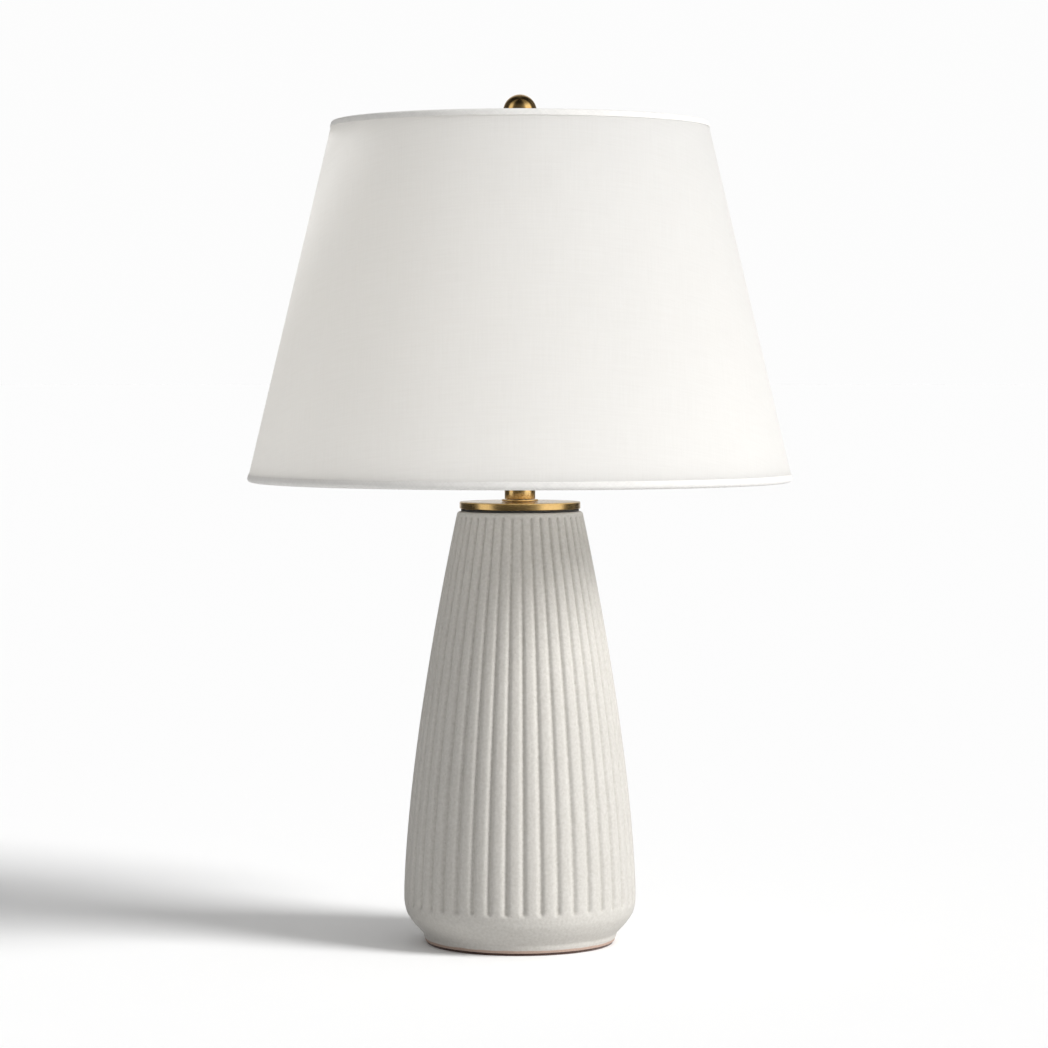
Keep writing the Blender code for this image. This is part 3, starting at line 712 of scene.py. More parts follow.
def boxMesh(size, centre):
    mesh = bpy.data.meshes.new("slot")
    shape = bmesh.new()
    bmesh.ops.create_cube(shape, size=1.0)
    bmesh.ops.scale(shape, vec=size, verts=shape.verts)
    bmesh.ops.translate(shape, vec=centre, verts=shape.verts)
    shape.to_mesh(mesh)
    shape.free()
    return mesh


def threaded(pitch, depth, low, high, outside=True):
    # a screw thread cut into an outside wall, or into a bore, between two heights
    def warp(r, z, angle):
        inside = min(max((z - low) / pitch, 0), 1) * min(max((high - z) / pitch, 0), 1)
        wave = 0.5 + 0.5 * math.cos(2 * math.pi * z / pitch - angle)
        return r - (depth if outside else -depth) * wave * inside
    return warp


def sweep(name, path, side, sizeAt, steps=20):
    # a wire along a path that lies in a plane square to side; sizeAt gives its half sizes
    # in the plane and along side, and both ends are rounded
    side = Vector(side)
    path = [Vector(p) for p in path]
    tangents = [(path[min(i + 1, len(path) - 1)] - path[max(i - 1, 0)]).normalized()
                for i in range(len(path))]
    stations = []
    for turn in (90, 60, 30):
        a = math.radians(turn)
        stations.append((path[0] - tangents[0] * sizeAt(0)[0] * math.sin(a), tangents[0], 0,
                         max(math.cos(a), 0.02)))
    last = len(path) - 1
    stations += [(p, t, i / last, 1) for i, (p, t) in enumerate(zip(path, tangents))]
    for turn in (30, 60, 90):
        a = math.radians(turn)
        stations.append((path[-1] + tangents[-1] * sizeAt(1)[0] * math.sin(a), tangents[-1], 1,
                         max(math.cos(a), 0.02)))
    verts, length = [], [0.0]
    for number, (centre, tangent, t, shrink) in enumerate(stations):
        if number:
            length.append(length[-1] + (centre - stations[number - 1][0]).length)
        up = side.cross(tangent)
        a, b = sizeAt(t)
        for k in range(steps):
            turn = 2 * math.pi * k / steps
            verts.append(centre + (up * a * math.cos(turn) + side * b * math.sin(turn)) * shrink)
    faces = [list(range(steps))[::-1]]
    spread = [(0, 0)] * steps
    for i in range(len(stations) - 1):
        for k in range(steps):
            m = (k + 1) % steps
            faces.append([i * steps + k, i * steps + m, (i + 1) * steps + m, (i + 1) * steps + k])
            spread += [(k / steps, length[i]), ((k + 1) / steps, length[i]),
                       ((k + 1) / steps, length[i + 1]), (k / steps, length[i + 1])]
    faces.append([(len(stations) - 1) * steps + k for k in range(steps)])
    spread += [(0, length[-1])] * steps
    mesh = bpy.data.meshes.new(name)
    mesh.from_pydata(verts, [], faces)
    layer = mesh.uv_layers.new(name="turned")
    layer.data.foreach_set("uv", [value for pair in spread for value in pair])
    smoothMesh(mesh)
    return mesh


# stoneware body
bodyShape = {
    "bellyHeight": 38.0 * mm,
    "shoulderHeight": 321.0 * mm,
    "shoulderRadius": 46.9 * mm,
    "taper": 1.5,
    "rimRound": 2.6 * mm,
    "mouthRadius": 38.0 * mm,
    "wall": 7.5 * mm,
    "flutes": 42,
    "fluteDepth": 2.05 * mm,
    "grooveShare": 0.155,       # half width of a groove, as a share of the pitch
    "ribCrown": 0.14,           # share of the depth that goes into rounding the ribs
    "fluteTurn": 1.75,          # degrees
    "fluteLow": 33.2 * mm,
    "fluteTop": 318.0 * mm,
    "columns": 18,              # per flute
    "cordHole": 4.0 * mm,
    "cordHeight": 9.0 * mm,
    "spotFace": (5.7 * mm, 74.4 * mm),
}


bellyRadius = span("ceramic_body")[2] + 0.04 * mm


def flankRadius(z):
    rise = (z - bodyShape["bellyHeight"]) / (bodyShape["shoulderHeight"] - bodyShape["bellyHeight"])
    return bellyRadius - (bellyRadius - bodyShape["shoulderRadius"]) * max(rise, 0) ** bodyShape["taper"]


def fluteWarp(r, z, angle):
    look = bodyShape
    if r < flankRadius(max(z, look["bellyHeight"])) - 3 * mm or z < 24 * mm:
        return r
    pitch = 2 * math.pi / look["flutes"]
    turn = (angle - math.radians(look["fluteTurn"])) / pitch - 0.5
    number = round(turn)
    u = turn - number
    hand = noise.noise(Vector((number * 3.7, z * 14, 0.5)))
    beyond = max(look["fluteLow"] - z, z - look["fluteTop"], 0) / (pitch * r)
    groove = math.exp(-(math.hypot(u, beyond) / look["grooveShare"]) ** 2)
    crown = (1 + math.cos(2 * math.pi * u)) / 2 * max(0, 1 - beyond / 0.35) ** 2
    depth = look["fluteDepth"] * (1 + 0.10 * hand) * (0.62 + 0.38 * r / flankRadius(look["bellyHeight"]))
    cut = (1 - look["ribCrown"]) * groove + look["ribCrown"] * crown
    return r - depth * cut + 0.06 * mm * noise.noise(Vector((math.cos(angle), math.sin(angle), z * 9)) * 2)


def makeBody():
    look = bodyShape
    low, top = span("ceramic_body")[:2]
    rim = flankRadius(top)
    outline = softCorners([(look["mouthRadius"], top, 1.2 * mm), (rim, top, look["rimRound"]),
                           (flankRadius(top - 5 * mm), top - 5 * mm)], 6)[:-1]
    outline += [(flankRadius(z), z) for z, _ in run((top - 3.4 * mm, 0), (300 * mm, 0), 22)]
    outline += [(flankRadius(z), z) for z, _ in run((300 * mm, 0), (46 * mm, 0), 52)]
    outline += [(flankRadius(z), z) for z, _ in run((46 * mm, 0), (36 * mm, 0), 10)]
    heel = [(flankRadius(0), 36 * mm), (86.45 * mm, 31.5 * mm), (85.7 * mm, 27 * mm),
            (84.0 * mm, 22 * mm), (79.6 * mm, 15.6 * mm), (75.6 * mm, 11.2 * mm),
            (72.9 * mm, 8.1 * mm), (72.0 * mm, 5.6 * mm), (71.5 * mm, 4.4 * mm)]
    outline += throughPoints(heel, 7)
    outline += softCorners([(71.2 * mm, 3.6 * mm), (70.8 * mm, low, 0.7 * mm),
                            (64.4 * mm, low, 0.7 * mm), (64.0 * mm, 15 * mm, 2 * mm),
                            (7 * mm, 15 * mm, 0.6 * mm), (7 * mm, 23 * mm, 0.6 * mm),
                            (70 * mm, 23 * mm, 6 * mm), (flankRadius(38 * mm) - look["wall"], 38 * mm)])
    outline += [(flankRadius(z) - look["wall"], z) for z, _ in run((48 * mm, 0), (316 * mm, 0), 26)]
    mesh = spin("stoneware_body", outline, look["flutes"] * look["columns"], fluteWarp)
    piece = newPiece("stoneware_body", mesh, "root", "glaze", "glaze", "ceramic_body")
    radius, start = look["spotFace"]
    plug = softCorners([(0, 95 * mm), (radius, 95 * mm), (radius, start, 0.5 * mm),
                        (look["cordHole"], start, 0.4 * mm), (look["cordHole"], 58 * mm), (0, 58 * mm)])
    lift = Matrix.Translation((0, 0, look["cordHeight"])) @ axisToBack
    cutAway(piece, spin("cord_hole_tool", plug, 48, None, lift))
    print("stoneware body:", len(piece.data.vertices), "points")


makeBody()


# felt, bushing and the clamp under the floor
underside = {
    "feltRound": 0.5 * mm,
    "threadPitch": inch / 27,
    "threadDepth": 0.32 * mm,
    "threadLength": 14 * mm,
}


def makeFeltPad():
    low, top, radius = span("felt_pad")
    rows = run((0, top), (radius - 1 * mm, top), 24)
    edge = softCorners([(radius - 1 * mm, top), (radius, top, underside["feltRound"]),
                        (radius, low, underside["feltRound"]), (radius - 1 * mm, low)], 4)
    outline = rows + edge + run((radius - 1 * mm, low), (0, low), 24)[1:] + [(0, low)]

    def fuzz(r, z, angle):
        return r + 0.35 * mm * noise.noise(Vector((r * math.cos(angle), r * math.sin(angle), z)) * 260) * (
            r > radius - 1.2 * mm)
    newPiece("felt_pad_brown", spin("felt_pad_brown", outline, 240, fuzz), "root", "felt", "felt",
             "felt_pad")


def hexagonal(across, low, high):
    # turns a round wall into six flats with chamfered corners
    def warp(r, z, angle):
        if r < across * 0.42:
            return r
        flat = across / 2 / math.cos((angle + math.pi / 6) % (math.pi / 3) - math.pi / 6)
        chamfer = across / 2 + 0.15 * mm + 1.6 * min(z - low, high - z)
        return min(flat, chamfer)
    return warp


def makeNut(name, node):
    low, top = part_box(node)
    across = top.x - low.x      # two flats face X
    low, high = low.z, top.z
    bore = 5.2 * mm
    outline = [(bore + 0.3 * mm, high), (across / 2, high)]
    outline += [(across / 2, z) for z, _ in run((high, 0), (low, 0), 10)[1:]]
    outline += [(across / 2, low), (bore + 0.3 * mm, low), (bore, low + 0.4 * mm), (bore, high - 0.4 * mm)]
    mesh = spin(name, outline, 96, hexagonal(across, low, high))
    newPiece(name, mesh, "root", "zincSteel", "steel", node)


def makeClamp():
    low, high, radius = span("base_cushion")
    newPiece("clamp_cushion", spin("clamp_cushion", ring(5.2 * mm, radius, low, high, 0.5 * mm), 72),
             "root", "rubber", "rubber", "base_cushion")
    low, high, radius = span("base_washer")
    newPiece("clamp_washer", spin("clamp_washer", ring(5.2 * mm, radius, low, high, 0.25 * mm), 72),
             "root", "zincSteel", "steel", "base_washer")
    makeNut("clamp_nut", "base_nut")
    low, high, radius = span("lamp_pipe")
    length = underside["threadLength"]
    pitch = underside["threadPitch"]
    bore = 3.2 * mm
    outline = [(bore, high - 0.4 * mm), (bore + 0.4 * mm, high), (radius - 0.4 * mm, high)]
    outline += run((radius, high - 0.4 * mm), (radius, high - length), 100)
    outline += run((radius, high - length), (radius, low + length), 12)
    outline += run((radius, low + length), (radius, low + 0.4 * mm), 100)
    outline += [(radius - 0.4 * mm, low), (bore + 0.4 * mm, low), (bore, low + 0.4 * mm)]
    lower = threaded(pitch, underside["threadDepth"], low, low + length)
    upper = threaded(pitch, underside["threadDepth"], high - length, high)

    def ends(r, z, angle):
        if r < radius - 0.1 * mm:
            return r
        return lower(r, z, angle) if z < 0.1 else upper(r, z, angle)
    newPiece("threaded_pipe", spin("threaded_pipe", outline, 40, ends), "root", "zincSteel", "steel",
             "lamp_pipe")


def makeBushing():
    low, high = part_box("cord_bushing")
    radius = (high.x - low.x) / 2
    height = (low.z + high.z) / 2
    face = bodyShape["spotFace"][1] + 0.3 * mm
    tube = bodyShape["cordHole"] - 0.4 * mm
    bore = 2.4 * mm
    outline = softCorners([(bore, high.y, 0.5 * mm), (radius, high.y, 0.7 * mm), (radius, face, 0.2 * mm),
                           (tube, face), (tube, low.y, 0.2 * mm), (bore, low.y, 0.3 * mm)], 4)
    mesh = spin("cord_grommet", outline, 48, None, Matrix.Translation((0, 0, height)) @ axisToBack)
    newPiece("cord_grommet", mesh, "root", "rubber", "rubber", "cord_bushing")


makeFeltPad()
makeClamp()
makeBushing()
print("foot and clamp done")


# brass cap, collar and neck
neckLook = {
    "capRound": 0.75 * mm,
    "collarRound": 0.55 * mm,
    "neckRound": 0.5 * mm,
    "pipeHole": 5.2 * mm,
    "lipRadius": 36.5 * mm,
    "lipThick": 2.0 * mm,
}


def makeNeck():
    look = neckLook
    low, high, radius = span("cap_gasket")
    newPiece("mouth_gasket", spin("mouth_gasket", ring(37 * mm, radius, low, high, 0.4 * mm), 144),
             "root", "rubber", "rubber", "cap_gasket")
    lip, high, radius = span("vase_cap")
    under = high - 5.2 * mm
    corners = [(look["pipeHole"], high), (radius - 4 * mm, high), (radius, high, look["capRound"]),
               (radius, under, look["capRound"]), (look["lipRadius"], under, 0.3 * mm),
               (look["lipRadius"], lip, 0.5 * mm), (look["lipRadius"] - look["lipThick"], lip, 0.5 * mm),
               (look["lipRadius"] - look["lipThick"], under, 1.0 * mm), (look["pipeHole"], under)]
    newPiece("brass_cap", spin("brass_cap", softCorners(corners, 5), 192), "root", "satinBrass", "brass",
             "vase_cap")
    low, high, radius = span("neck_collar")
    newPiece("brass_collar", spin("brass_collar", ring(look["pipeHole"], radius, low, high,
                                                       look["collarRound"]), 96),
             "root", "satinBrass", "brass", "neck_collar")
    low, high, radius = span("neck_tube")
    newPiece("brass_neck", spin("brass_neck", ring(radius - 1.5 * mm, radius, low, high,
                                                   look["neckRound"]), 96),
             "root", "satinBrass", "brass", "neck_tube")


makeNeck()
print("neck done")


# harp saddle, socket and switch
socketLook = {
    "beadHeights": (0.16, 0.30),       # shares of the shell's height
    "bead": 0.35 * mm,
    "lampThread": inch / 7,
    "lampThreadDepth": 0.22 * mm,
    "knobRibs": 16,
    "knobRib": 0.32 * mm,
    "slotWidth": 0.8 * mm,
}


def makeSaddle():
    # one steel strip, wide under the socket and narrow where it turns up into the prongs
    low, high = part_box("harp_saddle")
    half = high.x
    thick = 1.6 * mm
    bend = 2.2 * mm
    floorZ = low.z + thick / 2
    x = half - thick / 2
    path = [Vector((x, 0, z)) for z, _ in run((high.z, 0), (floorZ + bend, 0), 9)]
    for k in range(7):
        a = math.radians(90 * k / 6)
        path.append(Vector((x - bend + bend * math.cos(a), 0, floorZ + bend - bend * math.sin(a))))
    path += [Vector((s, 0, floorZ)) for s, _ in run((x - bend - 1 * mm, 0), (0, 0), 14)]
    path += [Vector((-p.x, 0, p.z)) for p in reversed(path)]
    wide, narrow = (high.y - low.y) / 2, 2 * mm
    shape = bmesh.new()
    rows = []
    count = len(path)
    for number, point in enumerate(path):
        tangent = (path[min(number + 1, count - 1)] - path[max(number - 1, 0)]).normalized()
        up = Vector((0, 1, 0)).cross(tangent)
        share = min(max((half - 4 * mm - abs(point.x)) / (9 * mm), 0), 1)
        width = narrow + (wide - narrow) * (3 * share ** 2 - 2 * share ** 3)
        if number in (0, count - 1):
            width *= 0.75
        edge = 0.3 * mm
        section = [(-thick / 2, edge - width), (-thick / 2, width - edge), (edge - thick / 2, width),
                   (thick / 2 - edge, width), (thick / 2, width - edge), (thick / 2, edge - width),
                   (thick / 2 - edge, -width), (edge - thick / 2, -width)]
        rows.append([shape.verts.new(point + up * a + Vector((0, b, 0))) for a, b in section])
    for first, second in zip(rows, rows[1:]):
        for k in range(8):
            shape.faces.new((first[k], first[(k + 1) % 8], second[(k + 1) % 8], second[k]))
    shape.faces.new(rows[0][::-1])
    shape.faces.new(rows[-1])
    bmesh.ops.recalc_face_normals(shape, faces=shape.faces)
    mesh = bpy.data.meshes.new("saddle_strip")
    shape.to_mesh(mesh)
    shape.free()
    mesh.uv_layers.new(name="turned")
    smoothMesh(mesh)
    piece = newPiece("saddle_strip", mesh, "root", "zincSteel", "steel", "harp_saddle")
    cutAway(piece, spin("saddle_hole", disc(5.2 * mm, low.z - 1 * mm, low.z + 4 * mm, 0), 48))
    makeNut("saddle_locknut", "saddle_nut")


def makeSocketShell():
    look = socketLook
    low, high, radius = span("socket_cap")
    wall = 1.0 * mm
    outer = [(radius, high, 0.2 * mm), (radius, high - 3.2 * mm, 1.5 * mm),
             (radius - 1.6 * mm, high - 7 * mm, 2 * mm),
             (10.2 * mm, high - 10.9 * mm, 2 * mm), (8.0 * mm, high - 13 * mm, 1 * mm),
             (8.0 * mm, low, 0.4 * mm)]
    inner = [(5.2 * mm, low), (5.2 * mm, high - 12.4 * mm), (9.2 * mm, high - 9.8 * mm, 1 * mm),
             (14.8 * mm, high - 6.2 * mm, 2 * mm), (radius - wall, high - 3 * mm, 1 * mm),
             (radius - wall, high)]
    mesh = spin("socket_cup", softCorners(outer + inner, 5), 96)
    newPiece("socket_cup", mesh, "root", "plainBrass", "brass", "socket_cap")
    low, high, radius = span("socket_shell")
    beads = [low + share * (high - low) for share in look["beadHeights"]]

    def bulge(z):
        return sum(look["bead"] * math.exp(-((z - bead) / (0.7 * mm)) ** 2) for bead in beads)
    wall = 0.5 * mm
    tall = [z for z, _ in run((high - 0.6 * mm, 0), (low, 0), 90)]
    outline = [(radius - wall, high), (radius - 0.1 * mm, high)]
    outline += [(radius - look["bead"] + bulge(z), z) for z in tall]
    outline += [(radius - look["bead"], low), (radius - look["bead"] - wall, low)]
    outline += [(radius - look["bead"] - wall + bulge(z), z) for z in reversed(tall)]
    shell = newPiece("socket_sleeve", spin("socket_sleeve", outline, 96), "root", "plainBrass", "brass",
                     "socket_shell")
    low, high, radius = span("socket_liner")
    liner = newPiece("fibre_sleeve", spin("fibre_sleeve",
                                          ring(radius - 0.5 * mm, radius - 0.05 * mm, low, high,
                                                               0.1 * mm), 96),
                     "root", "fibre", "fibre", "socket_liner")
    height = (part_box("switch_stem")[0].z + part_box("switch_stem")[1].z) / 2
    hole = [(0, 22 * mm), (3.2 * mm, 22 * mm), (3.2 * mm, 12 * mm), (0, 12 * mm)]
    for piece in (shell, liner):
        cutAway(piece, spin("stem_hole", hole, 40, None, Matrix.Translation((0, 0, height)) @ axisToFront))


def makeSocketInside():
    look = socketLook
    low, high, radius = span("socket_body")
    corners = [(0, high), (radius - 3 * mm, high), (radius - 3 * mm, high - 1 * mm, 0.3 * mm),
               (radius, high - 1 * mm, 0.5 * mm), (radius, low + 3 * mm, 0.5 * mm),
               (radius - 1 * mm, low + 3 * mm, 0.3 * mm), (radius - 1 * mm, low, 0.6 * mm), (0, low)]
    newPiece("socket_core", spin("socket_core", softCorners(corners), 72), "root", "phenolic", "phenolic",
             "socket_body")
    low, high, radius = span("screw_shell")
    outline = run((radius - 0.1 * mm, high), (radius - 0.1 * mm, low), 60)
    screwBore = 13.45 * mm
    outline += [(radius - 0.1 * mm, low)]
    outline += run((screwBore, low), (screwBore, high), 60)
    outline.append((screwBore, high))
    # both walls take the rolled thread
    depth = look["lampThreadDepth"]

    def rolled(r, z, angle):
        inside = min(max((z - low) / (2 * mm), 0), 1) * min(max((high - z) / (2 * mm), 0), 1)
        return r - depth * inside * (0.5 + 0.5 * math.cos(2 * math.pi * z / look["lampThread"] - angle))
    newPiece("lamp_screw_shell", spin("lamp_screw_shell", outline, 72, rolled), "root", "plainBrass", "brass",
             "screw_shell")
    low, high, radius = span("centre_contact")
    corners = [(0, high), (1.4 * mm, high, 0.8 * mm), (radius - 0.6 * mm, low + 0.8 * mm, 1 * mm),
               (radius, low + 0.5 * mm, 0.1 * mm), (radius, low), (0, low)]
    newPiece("contact_tongue", spin("contact_tongue", softCorners(corners, 4), 48), "root", "plainBrass",
             "brass",
             "centre_contact")


def makeScrews():
    for node, look, slot in (("terminal_screw_hot", "plainBrass", "brass"),
                             ("terminal_screw_neutral", "zincSteel", "steel")):
        low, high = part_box(node)
        centre = (low + high) / 2
        radius = (high.x - low.x) / 2
        head = softCorners([(0, high.z), (radius, high.z, 0.15 * mm), (radius, low.z, 0.6 * mm), (0, low.z)],
                           4)
        place = Matrix.Translation((centre.x, centre.y, 0))
        piece = newPiece(node + "_head", spin(node + "_head", head, 48, None, place), "root", look, slot,
                         node)
        cutAway(piece, boxMesh((3 * radius, socketLook["slotWidth"], 1.2 * mm), (centre.x, centre.y, low.z)))
    low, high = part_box("socket_set_screw")
    centre = (low + high) / 2
    radius = (high.x - low.x) / 2
    grub = softCorners([(0, high.y), (radius, high.y, 0.3 * mm), (radius, low.y, 0.2 * mm), (0, low.y)])
    mesh = spin("cap_grub_screw", grub, 32, None, Matrix.Translation((0, 0, centre.z)) @ axisToBack)
    piece = newPiece("cap_grub_screw", mesh, "root", "zincSteel", "steel", "socket_set_screw")
    cutAway(piece, boxMesh((0.5 * mm, 1.4 * mm, 4 * mm), (0, high.y, centre.z)))


def makeSwitch():
    look = socketLook
    low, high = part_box("switch_stem")
    lift = Matrix.Translation((0, 0, (low.z + high.z) / 2)) @ axisToFront
    radius = (high.x - low.x) / 2
    rod = softCorners([(0, -low.y), (radius, -low.y, 0.3 * mm), (radius, -high.y, 0.3 * mm), (0, -high.y)])
    newPiece("switch_rod", spin("switch_rod", rod, 32, None, lift), "switch", "plainBrass", "brass",
             "switch_stem")
    low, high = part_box("switch_knob")
    radius = (high.x - low.x) / 2
    near, far = -high.y, -low.y
    grip = softCorners([(0, far - 0.5 * mm), (radius * 0.45, far - 0.5 * mm, 0.5 * mm),
                        (radius * 0.6, far, 0.5 * mm),
                        (radius, far, 1.0 * mm), (radius, near + 3 * mm, 1 * mm),
                        (radius - 1.4 * mm, near, 0.5 * mm), (0, near)], 5)

    def ribbed(r, z, angle):
        grip = min(max((z - near - 3 * mm) / (1.5 * mm), 0), 1) * min(max((far - z) / (1.0 * mm), 0), 1)
        if r < radius * 0.9:
            return r
        return r - look["knobRib"] * grip * (0.5 + 0.5 * math.cos(look["knobRibs"] * angle)) ** 3
    body = [p for p in grip]
    wall = [n for n, p in enumerate(body) if abs(p[0] - radius) < 0.02 * mm]
    body[wall[0] + 1:wall[-1]] = run(body[wall[0]], body[wall[-1]], 14)[1:]
    newPiece("turn_knob", spin("turn_knob", body, 160, ribbed, lift), "switch", "phenolic", "phenolic",
             "switch_knob")


makeSaddle()
makeSocketShell()
makeSocketInside()
makeScrews()
makeSwitch()
print("socket and switch done")


# bulb
bulbLook = {
    "glass": 1.0 * mm,
    "thread": inch / 7,
    "threadDepth": 0.55 * mm,
}


def makeBulb():
    look = bulbLook
    low, high, radius = span("bulb_globe")
    centre = high - radius
    arc = [(radius * math.cos(math.radians(a)), centre + radius * math.sin(math.radians(a)))
           for a in [90 - 125 * k / 40 for k in range(41)]]
    neck = throughPoints([arc[-1], (18.6 * mm, centre - 25 * mm), (14.6 * mm, centre - 33 * mm),
                          (13 * mm, centre - 41 * mm), (12.9 * mm, low)], 6)[1:]
    outer = [(0.0, high)] + arc[1:] + neck
    glass = look["glass"]
    inner = []
    for (r, z), (s, y) in zip(outer, outer[1:]):
        normal = Vector((z - y, s - r)).normalized()
        inner.append((max((r + s) / 2 - normal.x * glass, 0), (z + y) / 2 - normal.y * glass))
    outline = outer + [(inner[-1][0], low)] + inner[::-1] + [(0.0, high - glass)]
    newPiece("frosted_globe", spin("frosted_globe", outline, 96), "bulb", "frosted", "frosted_glass",
             "bulb_globe")
    low, high, radius = span("bulb_cap")
    wall = 0.5 * mm
    screwLow = low + 2.4 * mm
    outer = [(radius - 0.6 * mm, high)] + run((radius, high - 0.5 * mm), (radius, screwLow), 60)
    outer += [(radius - 0.2 * mm, screwLow), (9.7 * mm, low), (8.6 * mm, low)]
    inner = [(8.6 * mm, low + 0.6 * mm), (radius - 1.6 * mm, screwLow + 0.4 * mm), (radius - 1.6 * mm, high)]

    def rolled(r, z, angle):
        if r < radius - 0.25 * mm:
            return r
        inside = min(max((z - screwLow) / (2 * mm), 0), 1) * min(max((high - 2 * mm - z) / (2 * mm), 0), 1)
        phase = 2 * math.pi * z / look["thread"] - angle
        return r - look["threadDepth"] * inside * (0.5 + 0.5 * math.cos(phase))
    newPiece("bulb_screw_cap", spin("bulb_screw_cap", outer + inner, 72, rolled), "bulb", "aluminium",
             "aluminium",
             "bulb_cap")
    tipLow, tipHigh, tipRadius = span("bulb_tip")
    tip = softCorners([(0, tipHigh), (tipRadius, tipHigh), (tipRadius, tipHigh - 1 * mm, 0.8 * mm),
                       (1.8 * mm, tipLow, 1.2 * mm), (0, tipLow)], 4)
    newPiece("bulb_contact", spin("bulb_contact", tip, 40), "bulb", "aluminium", "aluminium", "bulb_tip")
    glassRing = softCorners([(tipRadius + 0.1 * mm, low + 0.7 * mm), (8.5 * mm, low + 0.7 * mm),
                             (8.4 * mm, low + 0.1 * mm, 0.4 * mm),
                             (tipRadius + 0.6 * mm, tipLow + 1.6 * mm, 0.6 * mm),
                             (tipRadius + 0.1 * mm, tipLow + 1.9 * mm)], 4)
    newPiece("bulb_insulator", spin("bulb_insulator", glassRing, 48), "bulb", "insulator", "phenolic")


makeBulb()
print("bulb done")


# harp
harpLook = {
    "bendHeight": 397.0 * mm,
    "bendRadius": 30.0 * mm,
    "bendAngle": 50.0,
    "shoulderRadius": 45.0 * mm,
    "crownFlat": 9.0 * mm,      # half the length that is flattened under the stud
    "flatThick": 0.9 * mm,
    "flatWide": 3.1 * mm,
    "studPitch": inch / 27,
}


def arcPoints(centre, radius, start, end, count):
    angles = [math.radians(start + (end - start) * k / count) for k in range(count + 1)]
    return [(centre[0] + radius * math.cos(a), centre[1] + radius * math.sin(a)) for a in angles]


def makeHarp():
    look = harpLook
    low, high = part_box("harp_wire")
    wireRadius = high.y
    half = high.x - wireRadius
    crown = high.z - wireRadius
    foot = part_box("harp_sleeve_right")
    footX = (foot[0].x + foot[1].x) / 2 + 0.9 * mm
    spread = math.radians(look["bendAngle"])
    reach = look["bendRadius"] * (1 - math.cos(spread))
    rise = 2 * look["bendRadius"] * math.sin(spread) + (half - footX - 2 * reach) / math.tan(spread)
    side = run((footX, low.z + wireRadius), (footX, look["bendHeight"]), 8)
    side += arcPoints((footX + look["bendRadius"], look["bendHeight"]), look["bendRadius"], 180,
                      180 - look["bendAngle"], 14)
    side += arcPoints((half - look["bendRadius"], look["bendHeight"] + rise), look["bendRadius"],
                      -look["bendAngle"], 0, 14)
    shoulder = (half - look["shoulderRadius"], crown - look["shoulderRadius"])
    side += run(side[-1], (half, shoulder[1]), 16)[1:]
    side += arcPoints(shoulder, look["shoulderRadius"], 0, 90, 30)
    side += run(side[-1], (0, crown), 12)[1:]
    whole = side + [(0, crown)] + [(-x, z) for x, z in reversed(side)]

    def flatness(x, z):
        if z < crown - 8 * mm:
            return 0
        t = min(max((look["crownFlat"] + 4 * mm - abs(x)) / (4 * mm), 0), 1)
        return 3 * t * t - 2 * t ** 3
    shares = [flatness(x, z) for x, z in whole]
    path = [(x, 0, z + share * (wireRadius - look["flatThick"])) for (x, z), share in zip(whole, shares)]

    def sizeAt(t):
        share = shares[round(t * (len(shares) - 1))]
        return (wireRadius + (look["flatThick"] - wireRadius) * share,
                wireRadius + (look["flatWide"] - wireRadius) * share)
    bail = newPiece("harp_bail", sweep("harp_bail", path, (0, 1, 0), sizeAt), "harp", "plainBrass", "brass",
                    "harp_wire")
    cutAway(bail, spin("rivet_hole", disc(2.1 * mm, crown - 6 * mm, crown + 6 * mm, 0), 32))
    for sideName in ("left", "right"):
        node = "harp_sleeve_" + sideName
        low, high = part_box(node)
        centre = (low + high) / 2
        outer = (high.x - low.x) / 2
        tube = softCorners([(3.5 * mm, high.z, 0.25 * mm), (outer, high.z, 0.35 * mm),
                            (outer, low.z + 2.4 * mm, 0.3 * mm),
                            (outer - 0.35 * mm, low.z + 2.0 * mm, 0.2 * mm),
                            (outer - 0.35 * mm, low.z + 1.4 * mm, 0.2 * mm),
                            (outer, low.z + 1.0 * mm, 0.2 * mm),
                            (outer, low.z, 0.35 * mm), (3.5 * mm, low.z, 0.25 * mm)])
        place = Matrix.Translation((centre.x, 0, 0))
        newPiece("locking_" + node[5:], spin(node + "_lock", tube, 48, None, place), "sleeve_" + sideName,
                 "plainBrass", "brass", node)
    makeStud()


def makeStud():
    low, high, flange = span("harp_post")
    flangeTop = low + 1.9 * mm
    radius = 3.0 * mm
    rivetLow = low - 3.1 * mm
    outline = softCorners([(0, high), (radius - 0.5 * mm, high)])
    outline += run((radius, high - 0.5 * mm), (radius, flangeTop + 0.6 * mm), 96)
    outline += softCorners([(radius - 0.3 * mm, flangeTop + 0.3 * mm), (radius - 0.3 * mm, flangeTop),
                            (flange, flangeTop, 0.4 * mm), (flange, low, 0.4 * mm), (1.9 * mm, low),
                            (1.9 * mm, rivetLow + 0.8 * mm), (2.9 * mm, rivetLow + 0.8 * mm, 0.3 * mm),
                            (2.2 * mm, rivetLow, 0.5 * mm), (0, rivetLow)])
    cut = threaded(harpLook["studPitch"], 0.38 * mm, flangeTop + 0.6 * mm, high)

    def studThread(r, z, angle):
        return cut(r, z, angle) if z > flangeTop + 0.5 * mm and r > radius - 0.2 * mm else r
    newPiece("finial_stud", spin("finial_stud", outline, 48, studThread), "post", "plainBrass", "brass",
             "harp_post")


makeHarp()
print("harp done")


